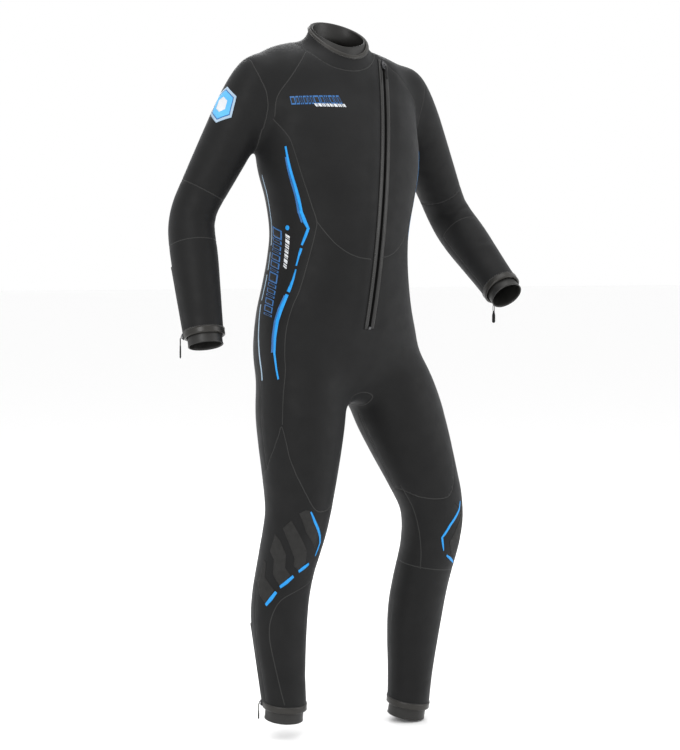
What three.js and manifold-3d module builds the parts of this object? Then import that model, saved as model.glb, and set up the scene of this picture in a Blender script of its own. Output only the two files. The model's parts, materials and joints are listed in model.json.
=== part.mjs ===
// A full-length diving wetsuit on an unseen wearer: neoprene panels joined at seams, a collar,
// smooth skin seals, a curved front zip, two wrist zips and two ankle zips.
// Millimetres, +Z up, the front of the suit faces -Y and the wearer's left side is +X.

import * as THREE from "three";
import { mergeVertices } from "three/addons/utils/BufferGeometryUtils.js";
import Module from "manifold-3d";

const wasm = await Module();
wasm.setup();

// ---------------------------------------------------------------------------------------------
// Driving dimensions
// ---------------------------------------------------------------------------------------------

const HEIGHT_GRADE = 1; // grading of every height in the pattern
const GIRTH_GRADE = 1; // grading of every width and depth in the pattern

const WALL = 5; // neoprene of the panels
const SEAM = 0.35; // gap left where two panels meet
const FIT = 0.35; // gap between nested or touching pieces
const PULL_FIT = 0.15; // gap between a slider's bridge and the pull that turns over it
const SEAL_FIT = 0.7; // gap between a seal and the panel round it
const SEAL_WALL = 2.4; // smooth skin of the neck, wrist and ankle seals

const COLLAR_TOP = 0.74; // top edge of the collar, as a share of the neck
const COLLAR_SEAM = 0.4; // lowest place of the seam below the collar, as a share of the neck
const BINDING = 0.12; // width of the binding round the collar, as a share of the neck
const BINDING_GAP = 0.006; // gap below the binding, as a share of the neck
const BINDING_PROUD = 1; // how far the binding stands out from the collar
const NECK_SEAL_FOOT = 0.6; // lower edge of the neck seal, hidden in the collar
const NECK_TILT = 30; // slope of the neck opening, in degrees

const HEM = 11; // width of the hem band at each wrist and ankle
const WRIST_SEAL_STAND = 19; // length of seal that shows below the wrist hem
const ANKLE_SEAL_STAND = 24;
const SEAL_TUCK = 26; // length of seal hidden in the sleeve or the leg

const ELBOW_REACH = 60; // length of the elbow panel on each side of the elbow
const KNEE_REACH = 92; // length of the knee panel below the knee

const ZIP_TAPE = 9; // width of one tape of the front zip
const ZIP_TEETH = 6.4; // width of the closed chain
const ZIP_THICK = 3; // tape thickness
const ZIP_TOP = 1366; // heights of the ends of the front zip
const ZIP_MIDDLE = 1092;
const ZIP_BOTTOM = 816;
const ZIP_TOP_X = 93; // sideways places of the same three points
const ZIP_MIDDLE_X = 19;
const ZIP_BOTTOM_X = -8;
const FLAP_WIDTH = 54; // flap behind the front zip
const FLAP_THICK = 2;
const SLOT_ABOVE = 34; // how far the slot for the front zip runs on above it

const CUFF_TAPE = 7; // width of one tape of a wrist or ankle zip
const CUFF_TEETH = 5.2;
const WRIST_ZIP = 150;
const ANKLE_ZIP = 172;

const SLIDER = { length: 15, width: 11, height: 4.2 };
const CUFF_SLIDER = { length: 12, width: 9, height: 3.8 };
const BRIDGE = { width: 2.4, rise: 1.2 }; // the bridge on a slider that carries its pull
const PIVOT_SHARE = 0.42; // place of a cuff pull's pivot along its slider
const MAIN_PULL = { length: 36, width: 7, thick: 2.4 };
const WRIST_PULL = { length: 42, width: 8, thick: 3 };
const ANKLE_PULL = { length: 34, width: 8, thick: 3 };

const TORSO_SIDES = 18; // flats round each section
const LIMB_SIDES = 12;
const BELLY = 2.3; // power of the torso's superellipse

// Torso stations: height, centre x, centre y, half width, front depth, back depth
const TORSO = [
  [1406, -3, 50, 58, 12, 16],
  [1400, -8, 48, 92, 20, 24],
  [1389, -11, 44, 134, 36, 38],
  [1371, -8, 37, 170, 62, 55],
  [1342, -3, 26, 187, 72, 72],
  [1300, 0, 16, 186, 79, 93],
  [1250, 0, 9, 182, 98, 110],
  [1200, -2, 5, 184, 110, 116],
  [1140, -3, 2, 178, 121, 114],
  [1080, -4, 0, 161, 129, 106],
  [1015, -9, -2, 148, 131, 100],
  [965, -13, -3, 149, 130, 102],
  [910, -15, -3, 157, 126, 110],
  [850, -14, -2, 170, 118, 122],
  [790, -6, 0, 183, 108, 132],
  [740, 0, 4, 187, 98, 134],
  [700, 3, 8, 170, 84, 124],
  [664, 3, 10, 120, 60, 92],
];

// Stations that shape the curve but need no flats of their own.
const BETWEEN_STATIONS = [1400, 1250, 1015, 910];

// Neck stations: share from base to rim, centre x, centre y, centre z, half width, front depth,
// back depth
const NECK = [
  [0, 0, 14, 1356, 114, 84, 80],
  [0.2, 0, 12, 1370, 98, 76, 74],
  [0.4, 2, 12, 1384, 80, 69, 67],
  [0.65, 4, 13, 1399, 69, 65, 64],
  [1, 6, 15, 1419, 63, 62, 62],
];

// Arm stations: place (0 to 1 from shoulder to elbow, 1 to 2 on to the wrist), half width,
// front depth, back depth
const ARM = [
  [-0.17, 22, 20, 20],
  [-0.14, 38, 36, 36],
  [-0.08, 50, 50, 50],
  [0.03, 56, 58, 58],
  [0.2, 57, 60, 60],
  [0.42, 54, 56, 56],
  [0.66, 50, 51, 51],
  [0.86, 46, 48, 48],
  [1, 46, 48, 48],
  [1.15, 47, 49, 49],
  [1.35, 48, 48, 48],
  [1.6, 45, 44, 44],
  [1.85, 42, 40, 40],
  [2, 41, 39, 39],
];

// Leg stations: as the arm, then the share of the shin's bow
const LEG = [
  [-0.1, 74, 80, 92, 0],
  [0.08, 90, 94, 100, 0],
  [0.26, 92, 95, 98, 0],
  [0.46, 85, 88, 88, 0],
  [0.66, 75, 79, 78, 0],
  [0.84, 67, 69, 72, 0.04],
  [0.96, 65, 63, 72, 0.22],
  [1.06, 63, 58, 72, 0.45],
  [1.2, 60, 54, 68, 0.8],
  [1.35, 59, 53, 68, 1],
  [1.5, 58, 52, 68, 0.97],
  [1.66, 54, 49, 61, 0.74],
  [1.82, 48, 46, 53, 0.38],
  [2, 45, 45, 46, 0],
];

const V = (x, y, z) => new THREE.Vector3(x, y, z);
const graded = (x, y, z) => V(x * GIRTH_GRADE, y * GIRTH_GRADE, z * HEIGHT_GRADE);

// The pose: shoulder, elbow, wrist or hip, knee, ankle, and how far the shin bows.
// side is -1 on the wearer's right and 1 on the left; zip is the place of the cuff zip, in
// degrees from the front of the limb towards its outer side.
const LIMBS = {
  arm_right: {
    side: -1, table: ARM, round: 45, zip: 130,
    joints: [graded(-178, 32, 1316), graded(-302, 98, 1042), graded(-314, 20, 804)],
    bow: V(0, 0, 0),
  },
  arm_left: {
    side: 1, table: ARM, round: 45, zip: 175,
    joints: [graded(180, 30, 1312), graded(351, 86, 1054), graded(358, -92, 893)],
    bow: V(0, 0, 0),
  },
  leg_right: {
    side: -1, table: LEG, round: 80, zip: 126,
    joints: [graded(-93, 4, 735), graded(-120, -24, 392), graded(-128, 16, 36)],
    bow: graded(-11, 27, 0),
  },
  leg_left: {
    side: 1, table: LEG, round: 80, zip: 126,
    joints: [graded(105, -2, 735), graded(213, -66, 402), graded(168, -12, 10)],
    bow: graded(-3, 24, 0),
  },
};

// Where a hanger or the wearer's neck carries the suit: the origin of the part.
const HANG = graded(0, 20, 1400);

const MATERIALS = {
  jersey: { color: 0x29292b, roughness: 0.78, metalness: 0 },
  stretch: { color: 0x2f2f31, roughness: 0.82, metalness: 0 },
  smooth_skin: { color: 0x43413d, roughness: 0.42, metalness: 0 },
  tape: { color: 0x4b4a48, roughness: 0.5, metalness: 0 },
  teeth: { color: 0x161617, roughness: 0.45, metalness: 0 },
  slider: { color: 0x3a3b3d, roughness: 0.4, metalness: 0.6 },
  pull: { color: 0x1d1d1f, roughness: 0.6, metalness: 0 },
};

// ---------------------------------------------------------------------------------------------
// Sections, lofts and solids
// ---------------------------------------------------------------------------------------------

// The row of a table at a value of its first column, by Catmull-Rom interpolation.
function at(table, key) {
  const rising = table[1][0] > table[0][0] ? 1 : -1;
  let i = 0;
  while (i < table.length - 2 && (key - table[i + 1][0]) * rising > 0) i += 1;
  const rows = [-1, 0, 1, 2].map((k) => table[Math.min(Math.max(i + k, 0), table.length - 1)]);
  const t = (key - rows[1][0]) / (rows[2][0] - rows[1][0]);
  return rows[0].map((_, c) => {
    const [a, b, d, e] = rows.map((row) => row[c]);
    const slope = (d - a) / 2;
    const next = (e - b) / 2;
    const u = t < 0 ? 0 : Math.min(t, 1);
    const inside = ((2 * b - 2 * d + slope + next) * u + (3 * d - 3 * b - 2 * slope - next)) * u * u;
    return inside + slope * u + b;
  });
}

// One point of a section that is half an ellipse in front and half behind.
function sectionPoint(frame, size, angle, grow, power) {
  const [width, front, back] = size;
  const s = Math.sin(angle);
  const c = Math.cos(angle);
  const x = Math.sign(s) * Math.abs(s) ** (2 / power) * (width + grow);
  const y = Math.sign(c) * Math.abs(c) ** (2 / power) * ((c > 0 ? front : back) + grow);
  return frame.centre.clone().addScaledVector(frame.side, x).addScaledVector(frame.front, y);
}

function sectionRing(frame, size, grow, power, sides) {
  const ring = [];
  for (let k = 0; k < sides; k += 1) {
    ring.push(sectionPoint(frame, size, (2 * Math.PI * k) / sides, grow, power));
  }
  return ring;
}

// A closed body through rings of points, each ring running the same way round. In a thin body
// the quads of the second half are split along the other diagonal, so that it keeps its
// thickness where it twists.
function loft(rings, thin = false) {
  const sides = rings[0].length;
  const positions = rings.flat().flatMap((p) => [p.x, p.y, p.z]);
  const faces = [];
  for (let r = 0; r + 1 < rings.length; r += 1) {
    for (let k = 0; k < sides; k += 1) {
      const a = r * sides + k;
      const b = r * sides + ((k + 1) % sides);
      if (thin && k >= sides / 2) faces.push(a, a + sides, b + sides, a, b + sides, b);
      else faces.push(a, a + sides, b, b, a + sides, b + sides);
    }
  }
  const last = (rings.length - 1) * sides;
  for (let k = 1; k + 1 < sides; k += 1) {
    faces.push(0, k, k + 1);
    faces.push(last, last + k + 1, last + k);
  }
  const geometry = new THREE.BufferGeometry();
  geometry.setAttribute("position", new THREE.Float32BufferAttribute(positions, 3));
  geometry.setIndex(faces);
  return geometry;
}

function toSolid(geometry) {
  const bare = geometry.clone();
  bare.deleteAttribute("normal");
  bare.deleteAttribute("uv");
  const merged = mergeVertices(bare, 1e-5);
  return new wasm.Manifold(new wasm.Mesh({
    numProp: 3,
    vertProperties: Float32Array.from(merged.attributes.position.array),
    triVerts: Uint32Array.from(merged.index.array),
  }));
}

function toGeometry(solid) {
  const mesh = solid.getMesh();
  const geometry = new THREE.BufferGeometry();
  geometry.setAttribute("position", new THREE.BufferAttribute(mesh.vertProperties, 3));
  geometry.setIndex(new THREE.BufferAttribute(mesh.triVerts, 1));
  geometry.computeVertexNormals();
  return geometry;
}

const join = (solids) => solids.reduce((sum, solid) => sum.add(solid));

// The separate bodies that cutting has left in one solid, as geometries.
function separate(solid) {
  const mesh = solid.getMesh();
  const owner = Uint32Array.from({ length: mesh.vertProperties.length / 3 }, (_, i) => i);
  const root = (i) => {
    while (owner[i] !== i) {
      owner[i] = owner[owner[i]];
      i = owner[i];
    }
    return i;
  };
  for (let f = 0; f < mesh.triVerts.length; f += 3) {
    owner[root(mesh.triVerts[f + 1])] = root(mesh.triVerts[f]);
    owner[root(mesh.triVerts[f + 2])] = root(mesh.triVerts[f]);
  }
  const bodies = new Map();
  for (let f = 0; f < mesh.triVerts.length; f += 3) {
    const key = root(mesh.triVerts[f]);
    if (!bodies.has(key)) bodies.set(key, { places: new Map(), points: [], faces: [] });
    const body = bodies.get(key);
    for (let k = 0; k < 3; k += 1) {
      const v = mesh.triVerts[f + k];
      if (!body.places.has(v)) {
        body.places.set(v, body.points.length / 3);
        body.points.push(...mesh.vertProperties.slice(v * 3, v * 3 + 3));
      }
      body.faces.push(body.places.get(v));
    }
  }
  return [...bodies.values()].map((body) => {
    const geometry = new THREE.BufferGeometry();
    geometry.setAttribute("position", new THREE.Float32BufferAttribute(body.points, 3));
    geometry.setIndex(body.faces);
    geometry.computeVertexNormals();
    return geometry;
  });
}

// How near a geometry comes to a point, judged by its corners and the middles of its faces.
function nearness(geometry, point) {
  const position = geometry.attributes.position;
  const index = geometry.index;
  const corner = V(0, 0, 0);
  const middle = V(0, 0, 0);
  let best = Infinity;
  for (let f = 0; f < index.count; f += 3) {
    middle.set(0, 0, 0);
    for (let k = 0; k < 3; k += 1) {
      corner.fromBufferAttribute(position, index.getX(f + k));
      middle.addScaledVector(corner, 1 / 3);
      best = Math.min(best, corner.distanceTo(point));
    }
    best = Math.min(best, middle.distanceTo(point));
  }
  return best;
}

// ---------------------------------------------------------------------------------------------
// The body form
// ---------------------------------------------------------------------------------------------

const degrees = Math.PI / 180;

function torsoFrame(height) {
  const [, x, y, width, front, back] = at(TORSO, height);
  return {
    frame: { centre: graded(x, y, height), side: V(1, 0, 0), front: V(0, -1, 0) },
    size: [width, front, back].map((s) => s * GIRTH_GRADE),
  };
}

// A point of the torso, at an angle in degrees from the front towards the wearer's left.
function torsoPoint(height, angle, grow = 0) {
  const { frame, size } = torsoFrame(height);
  return sectionPoint(frame, size, angle * degrees, grow, BELLY);
}

function torsoLoft(grow) {
  const heights = TORSO.map((row) => row[0]).filter((height) => !BETWEEN_STATIONS.includes(height));
  heights[0] += grow;
  heights[heights.length - 1] -= grow;
  return loft(heights.map((height) => {
    const { frame, size } = torsoFrame(height);
    return sectionRing(frame, size, grow, BELLY, TORSO_SIDES);
  }));
}

// The front of the torso at a height and a sideways place.
function torsoFront(x, height) {
  const { frame, size } = torsoFrame(height);
  const share = Math.abs((x * GIRTH_GRADE - frame.centre.x) / size[0]);
  const depth = size[1] * (1 - share ** BELLY) ** (1 / BELLY);
  return V(x * GIRTH_GRADE, frame.centre.y - depth, frame.centre.z);
}

function neckFrame(share) {
  const [, x, y, z, width, front, back] = at(NECK, Math.min(share, 1));
  const tilt = NECK_TILT * degrees;
  const rise = V(0, -Math.sin(tilt), Math.cos(tilt));
  const centre = graded(x, y, z).addScaledVector(rise, Math.max(share - 1, 0) * 60);
  return {
    frame: { centre, side: V(1, 0, 0), front: V(0, -Math.cos(tilt), -Math.sin(tilt)) },
    size: [width, front, back].map((s) => s * GIRTH_GRADE),
  };
}

function neckLoft(from, to, grow, steps = 4) {
  const rings = [];
  for (let i = steps; i >= 0; i -= 1) {
    const { frame, size } = neckFrame(from + ((to - from) * i) / steps);
    rings.push(sectionRing(frame, size, grow, 2, TORSO_SIDES));
  }
  return loft(rings);
}

// The centre of a limb at a place from 0 to 2, and the directions of its section there.
function limbFrame(limb, place) {
  const [root, bend, tip] = limb.joints;
  const first = bend.clone().sub(root);
  const second = tip.clone().sub(bend);
  const along = place < 1 ? (place - 1) * first.length() : (place - 1) * second.length();
  const start = bend.clone().addScaledVector(first.clone().normalize(), Math.min(along, 0));
  const centre = start.addScaledVector(second.clone().normalize(), Math.max(along, 0));
  const down = (along < 0 ? first : second).clone().normalize();
  if (Math.abs(along) < limb.round) {
    const t = (along + limb.round) / (2 * limb.round);
    const before = bend.clone().addScaledVector(first.clone().normalize(), -limb.round);
    const after = bend.clone().addScaledVector(second.clone().normalize(), limb.round);
    centre.copy(before).multiplyScalar((1 - t) ** 2);
    centre.addScaledVector(bend, 2 * t * (1 - t)).addScaledVector(after, t * t);
    down.copy(first).normalize().multiplyScalar(1 - t);
    down.addScaledVector(second.clone().normalize(), t).normalize();
  }
  const row = at(limb.table, Math.min(place, 2));
  centre.addScaledVector(limb.bow, row[4] ?? 0);
  const front = V(0, -1, 0).addScaledVector(down, down.y).normalize();
  const side = front.clone().cross(down);
  return {
    frame: { centre, side, front, down },
    size: row.slice(1, 4).map((s) => s * GIRTH_GRADE),
  };
}

// A point of a limb, at an angle in degrees from its front towards its outer side.
function limbPoint(limb, place, angle, grow = 0) {
  const { frame, size } = limbFrame(limb, place);
  return sectionPoint(frame, size, angle * limb.side * degrees, grow, 2);
}

function limbRing(limb, place, grow) {
  const { frame, size } = limbFrame(limb, place);
  return sectionRing(frame, size, grow, 2, LIMB_SIDES);
}

// The place on a limb that lies a length in millimetres above or below its bend or its tip.
function placeFrom(limb, whole, length) {
  const [root, bend, tip] = limb.joints;
  const bone = length < 0 === (whole === 1) ? root.distanceTo(bend) : bend.distanceTo(tip);
  return whole + length / bone;
}

function limbLoft(limb, places, grow) {
  return loft(places.map((place) => limbRing(limb, place, grow)));
}


// The torso with the neck, the upper arms and the legs to just below the knee. The open form
// runs on a little past each end.
function bodyForm(grow, open) {
  const forms = [torsoLoft(grow), neckLoft(0, open ? 1.3 : COLLAR_TOP - BINDING, grow, 4)];
  for (const limb of Object.values(LIMBS)) {
    const reach = limb.table === ARM ? -ELBOW_REACH - SEAM : KNEE_REACH;
    const end = placeFrom(limb, 1, reach);
    const places = limb.table.map((row) => row[0]).filter((place) => place < end - 0.1);
    places.push(end);
    if (open) places.push(end + 0.05);
    forms.push(limbLoft(limb, places, grow));
  }
  return join(forms.map(toSolid));
}

// ---------------------------------------------------------------------------------------------
// Seams: thin ribbons that part the shell into panels
// ---------------------------------------------------------------------------------------------

// A closed ring of sections, for cuts that run right round.
function endlessLoft(rings) {
  const geometry = loft([...rings, rings[0]], true);
  const sides = rings[0].length;
  const walls = (rings.length) * sides * 6;
  const index = Array.from(geometry.index.array.slice(0, walls));
  const last = rings.length * sides;
  geometry.setIndex(index.map((i) => (i >= last ? i - last : i)));
  return geometry;
}

// stops hold a point, the direction out of the suit there, and how deep the cut goes.
function ribbon(stops, closed = false, reach = 16, width = SEAM) {
  const count = stops.length;
  const rings = stops.map(({ point, out, deep = reach }, i) => {
    const before = stops[closed ? (i + count - 1) % count : Math.max(i - 1, 0)].point;
    const after = stops[closed ? (i + 1) % count : Math.min(i + 1, count - 1)].point;
    const across = out.clone().cross(after.clone().sub(before)).normalize();
    return [[1, -1], [1, 1], [-1, 1], [-1, -1]].map(([n, s]) => (
      point.clone().addScaledVector(out, n * deep).addScaledVector(across, (s * width) / 2)
    ));
  });
  return toSolid(closed ? endlessLoft(rings) : loft(rings, true));
}

const between = (from, to, count) => (
  Array.from({ length: count + 1 }, (_, i) => from + ((to - from) * i) / count)
);

function stopAt(pointAt) {
  const point = pointAt(0);
  return { point, out: pointAt(10).sub(point).normalize() };
}

const torsoStop = (height, angle) => stopAt((grow) => torsoPoint(height, angle, grow));
const limbStop = (limb, place, angle) => stopAt((grow) => limbPoint(limb, place, angle, grow));

function neckPoint(share, angle, grow = 0) {
  const { frame, size } = neckFrame(share);
  return sectionPoint(frame, size, angle * degrees, grow, 2);
}

const neckStop = (share, angle) => stopAt((grow) => neckPoint(share, angle, grow));

// Whether a point is outside the torso by at least a margin.
function outsideTorso(point, margin) {
  const height = point.z / HEIGHT_GRADE;
  if (height > TORSO[0][0]) return true;
  const { frame, size } = torsoFrame(height);
  const x = Math.abs(point.x - frame.centre.x) / (size[0] + margin);
  const y = frame.centre.y - point.y;
  const depth = (y > 0 ? size[1] : size[2]) + margin;
  return x ** BELLY + (Math.abs(y) / depth) ** BELLY > 1;
}

// The first place, from a wanted one on, where a branch stands clear of the torso.
function clearPlace(pointAt, wanted, step, margin) {
  let place = wanted;
  while (!outsideTorso(pointAt(place), margin) && Math.abs(place - wanted) < 1.2) place += step;
  return place;
}

// Where the seams run. Angles are in degrees from the front towards the outer side.
const ARMHOLE = [ // angle, place on the arm
  [-90, 0.3], [-45, 0.2], [0, 0.07], [45, -0.04], [90, -0.09], [135, 0.02], [180, 0.16], [225, 0.25],
  [270, 0.3], [315, 0.2], [360, 0.07],
];
const SIDE_FRONT = [ // height, angle on the torso
  [1290, 90], [1240, 83], [1184, 62], [1110, 50], [1034, 44], [965, 49], [892, 57], [810, 70],
  [740, 80], [700, 84],
];
const SIDE_BACK = [
  [1290, 108], [1240, 114], [1140, 122], [1034, 128], [900, 126], [810, 116], [740, 106], [700, 101],
];
const UNDER_CHEST = [ // angle towards the left, height
  [-60, 1062], [-44, 1034], [-20, 990], [0, 960], [14, 968], [28, 1000], [44, 1034], [60, 1062],
];
const KNEE_TOP = [ // angle, place on the leg
  [-45, 0.8], [0, 0.84], [40, 0.7], [70, 0.5], [91, 0.36], [115, 0.52], [145, 0.68], [180, 0.75],
  [225, 0.74], [270, 0.7], [315, 0.8], [360, 0.84], [400, 0.7],
];
const SIDE_POINT = 0.31; // place on the leg where the side panel ends
const BACK_WAIST = 1030; // height of the seam across the back
const SHIN_OUTER = 66; // angles of the seams between shin and calf panels
const SHIN_INNER = -104;
const INSEAM = -92; // angle of the seam inside the thigh
const GUSSET = { centre: graded(14, 2, 674), size: [46, 74, 60] }; // half sizes of the crotch panel
const YOKE = { neck: 72, neckBack: 138 }; // angles of the yoke seams at the collar

const collarPlace = (angle) => clearPlace((s) => neckPoint(s, angle), COLLAR_SEAM, 0.01, 2);

function collarSeam() {
  return between(0, 360, 14).slice(0, -1).map((angle) => neckStop(collarPlace(angle), angle));
}

function armholePlace(limb, angle) {
  const [, wanted] = at(ARMHOLE, ((angle + 450) % 360) - 90);
  return clearPlace((place) => limbPoint(limb, place, angle), wanted, 0.01, 4);
}

function straight(from, to, out, count) {
  return between(0, 1, count).map((t) => ({ point: from.clone().lerp(to, t), out }));
}

function insideGusset(point) {
  const offset = point.clone().sub(GUSSET.centre).divide(V(...GUSSET.size)).divideScalar(GIRTH_GRADE);
  return offset.length() < 1;
}

function seams() {
  const cuts = [ribbon(collarSeam(), true)];
  for (const limb of [LIMBS.arm_right, LIMBS.arm_left]) {
    const side = limb.side;
    const angles = between(0, 360, 11).slice(0, -1);
    cuts.push(ribbon(angles.map((a) => limbStop(limb, armholePlace(limb, a), a)), true, 12));
    for (const [face, neckAngle, armAngle] of [[-1, YOKE.neck, 0], [1, YOKE.neckBack, 178]]) {
      const from = neckPoint(collarPlace(neckAngle * side) + 0.1, neckAngle * side);
      const to = limbPoint(limb, armholePlace(limb, armAngle) + 0.05, armAngle);
      const out = V(0.1 * side, 0.75 * face, 0.65).normalize();
      cuts.push(ribbon(straight(from, to, out, 2), false, 34));
    }
    for (const seam of [SIDE_FRONT, SIDE_BACK]) {
      const leg = side < 0 ? LIMBS.leg_right : LIMBS.leg_left;
      const stops = between(1290, 740, 7).map((z) => torsoStop(z, at(seam, z)[1] * side));
      stops[0].deep = 34;
      stops[1].deep = 30;
      stops[7].deep = 24;
      stops.push(limbStop(leg, 0.16, seam === SIDE_FRONT ? 86 : 97), limbStop(leg, SIDE_POINT, 91));
      stops[8].deep = 24;
      stops.push(limbStop(leg, SIDE_POINT + 0.02, seam === SIDE_FRONT ? 91 : 88));
      if (seam === SIDE_FRONT) stops.push(limbStop(leg, at(KNEE_TOP, 91)[1] + 0.012, 91));
      cuts.push(ribbon(stops, false, 13));
    }
  }
  const chest = between(-48, 48, 6).map((angle) => torsoStop(at(UNDER_CHEST, angle)[1], angle));
  cuts.push(ribbon(chest));
  const back = between(118, 242, 4).map((angle) => torsoStop(BACK_WAIST, angle));
  cuts.push(ribbon(back));
  const { centre, size } = GUSSET;
  const outer = new THREE.SphereGeometry(1, 11, 7);
  const inner = outer.clone();
  outer.scale(...size.map((s) => s * GIRTH_GRADE + SEAM / 2)).translate(...centre);
  inner.scale(...size.map((s) => s * GIRTH_GRADE - SEAM / 2)).translate(...centre);
  cuts.push(toSolid(outer).subtract(toSolid(inner)));
  for (const leg of [LIMBS.leg_right, LIMBS.leg_left]) {
    const loop = between(91, 451, 14).slice(0, -1);
    cuts.push(ribbon(loop.map((a) => limbStop(leg, at(KNEE_TOP, a % 360)[1], a)), true));
    let gussetEdge = 0.15;
    while (insideGusset(limbPoint(leg, gussetEdge, INSEAM))) gussetEdge += 0.01;
    const inseam = between(gussetEdge - 0.07, at(KNEE_TOP, 360 + INSEAM)[1] + 0.02, 3);
    cuts.push(ribbon(inseam.map((place) => limbStop(leg, place, INSEAM))));
  }
  return cuts;
}

// ---------------------------------------------------------------------------------------------
// Sleeves, cuffs and seals: tubes along a limb or the neck
// ---------------------------------------------------------------------------------------------

// A tube along a limb between two places. inward is how far its outside lies below the
// surface of the suit.
function limbTube(limb, from, to, inward, wall, rows = 1) {
  const places = to > 2 ? [from, placeFrom(limb, 2, -HEM), 2, to] : between(from, to, rows);
  const rim = wall * 2;
  const bone = limb.joints[1].distanceTo(limb.joints[2]);
  const bore = [from - rim / bone, ...places, to + rim / bone];
  const outer = toSolid(limbLoft(limb, places, -inward));
  return outer.subtract(toSolid(limbLoft(limb, bore, -inward - wall)));
}

function neckTube(from, to, inward, wall) {
  const outer = toSolid(neckLoft(from, to, -inward, 3));
  return outer.subtract(toSolid(neckLoft(from - 0.06, to + 0.06, -inward - wall, 3)));
}

// ---------------------------------------------------------------------------------------------
// Zips
// ---------------------------------------------------------------------------------------------

// The front zip lies on one arc through three points of the front.
function zipArc() {
  const top = torsoFront(ZIP_TOP_X, ZIP_TOP);
  const toMiddle = torsoFront(ZIP_MIDDLE_X, ZIP_MIDDLE).sub(top);
  const toBottom = torsoFront(ZIP_BOTTOM_X, ZIP_BOTTOM).sub(top);
  const axis = toMiddle.clone().cross(toBottom);
  const ab = toMiddle.dot(toBottom);
  const aa = toMiddle.lengthSq();
  const bb = toBottom.lengthSq();
  const scale = 2 * (aa * bb - ab * ab);
  const centre = top.clone().addScaledVector(toMiddle, (bb * (aa - ab)) / scale);
  centre.addScaledVector(toBottom, (aa * (bb - ab)) / scale);
  axis.normalize();
  const start = top.clone().sub(centre);
  const bottom = top.clone().add(toBottom).sub(centre);
  return { centre, axis, start, radius: start.length(), sweep: start.angleTo(bottom) };
}

const ARC = zipArc();
const ZIP_TWIST = 28; // degrees from the arc's radius to the middle direction out of the chest

// The frame of the front zip at a length along the arc from its top.
function mainZipFrame(length) {
  const turn = length / ARC.radius;
  const radial = ARC.start.clone().normalize().applyAxisAngle(ARC.axis, turn);
  const down = ARC.axis.clone().cross(radial);
  const out = radial.clone().applyAxisAngle(down, ZIP_TWIST * degrees * zipTwistSign);
  return { point: ARC.centre.clone().addScaledVector(radial, ARC.radius), out, down };
}

const zipTwistSign = chooseTwist();

// The sideways lean of the tape follows the chest, which faces more to -Y than the radius does.
function chooseTwist() {
  const radial = ARC.start.clone().normalize();
  const down = ARC.axis.clone().cross(radial);
  const leaned = radial.clone().applyAxisAngle(down, ZIP_TWIST * degrees);
  return leaned.x > radial.x ? 1 : -1;
}

const MAIN_ZIP_LENGTH = ARC.sweep * ARC.radius;

// The frame of a cuff zip at a length above the tip of the limb.
function cuffZipFrame(limb, run) {
  const bottom = limbPoint(limb, 2, limb.zip);
  const top = limbPoint(limb, placeFrom(limb, 2, -run), limb.zip);
  const down = bottom.clone().sub(top).normalize();
  const { out } = limbStop(limb, placeFrom(limb, 2, -run / 2), limb.zip);
  out.addScaledVector(down, -out.dot(down)).normalize();
  return (length) => ({ point: bottom.clone().addScaledVector(down, -length), out, down });
}

// Sweeps a section over frames. Section points are [across, out], running from out to across.
function sweep(frames, section) {
  return loft(frames.map(({ point, out, down }) => {
    const across = out.clone().cross(down);
    return section.map(([a, n]) => point.clone().addScaledVector(across, a).addScaledVector(out, n));
  }));
}

// A strip section between two places across and two heights.
const strip = (from, to, low, high) => [[from, high], [to, high], [to, low], [from, low]];

const frames = (frameAt, from, to, count) => between(from, to, count).map(frameAt);

const MAIN_SLOT = ZIP_TEETH / 2 + ZIP_TAPE + 2 * FIT;
const CUFF_SLOT = CUFF_TEETH / 2 + CUFF_TAPE + 2 * FIT;
const ZIP_STOP = 5; // length of the stops at the ends of the front zip

// The slot in the shell that takes the front zip. It runs on through the collar.
function mainZipSlot() {
  const run = frames(mainZipFrame, -SLOT_ABOVE, MAIN_ZIP_LENGTH, 12);
  return toSolid(sweep(run, strip(-MAIN_SLOT, MAIN_SLOT, -14, 14)));
}

// ---------------------------------------------------------------------------------------------
// The assembly
// ---------------------------------------------------------------------------------------------

const suit = new THREE.Group();
const figure = new THREE.Group();
figure.position.copy(HANG).negate();
suit.add(figure);

function piece(name, material, solid, parent = figure) {
  const geometry = solid.isBufferGeometry ? solid : toGeometry(solid);
  const mesh = new THREE.Mesh(geometry, new THREE.MeshStandardMaterial(MATERIALS[material]));
  mesh.name = name;
  figure.add(mesh);
  if (parent !== figure) {
    suit.updateMatrixWorld(true);
    parent.attach(mesh);
  }
  return mesh;
}

// A group that turns or slides along its own X axis, placed at a pivot.
function mover(name, pivot, axis, parent = figure) {
  const group = new THREE.Group();
  group.name = name;
  group.position.copy(pivot);
  group.quaternion.setFromUnitVectors(V(1, 0, 0), axis.clone().normalize());
  figure.add(group);
  suit.updateMatrixWorld(true);
  if (parent !== figure) parent.attach(group);
  return group;
}

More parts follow.
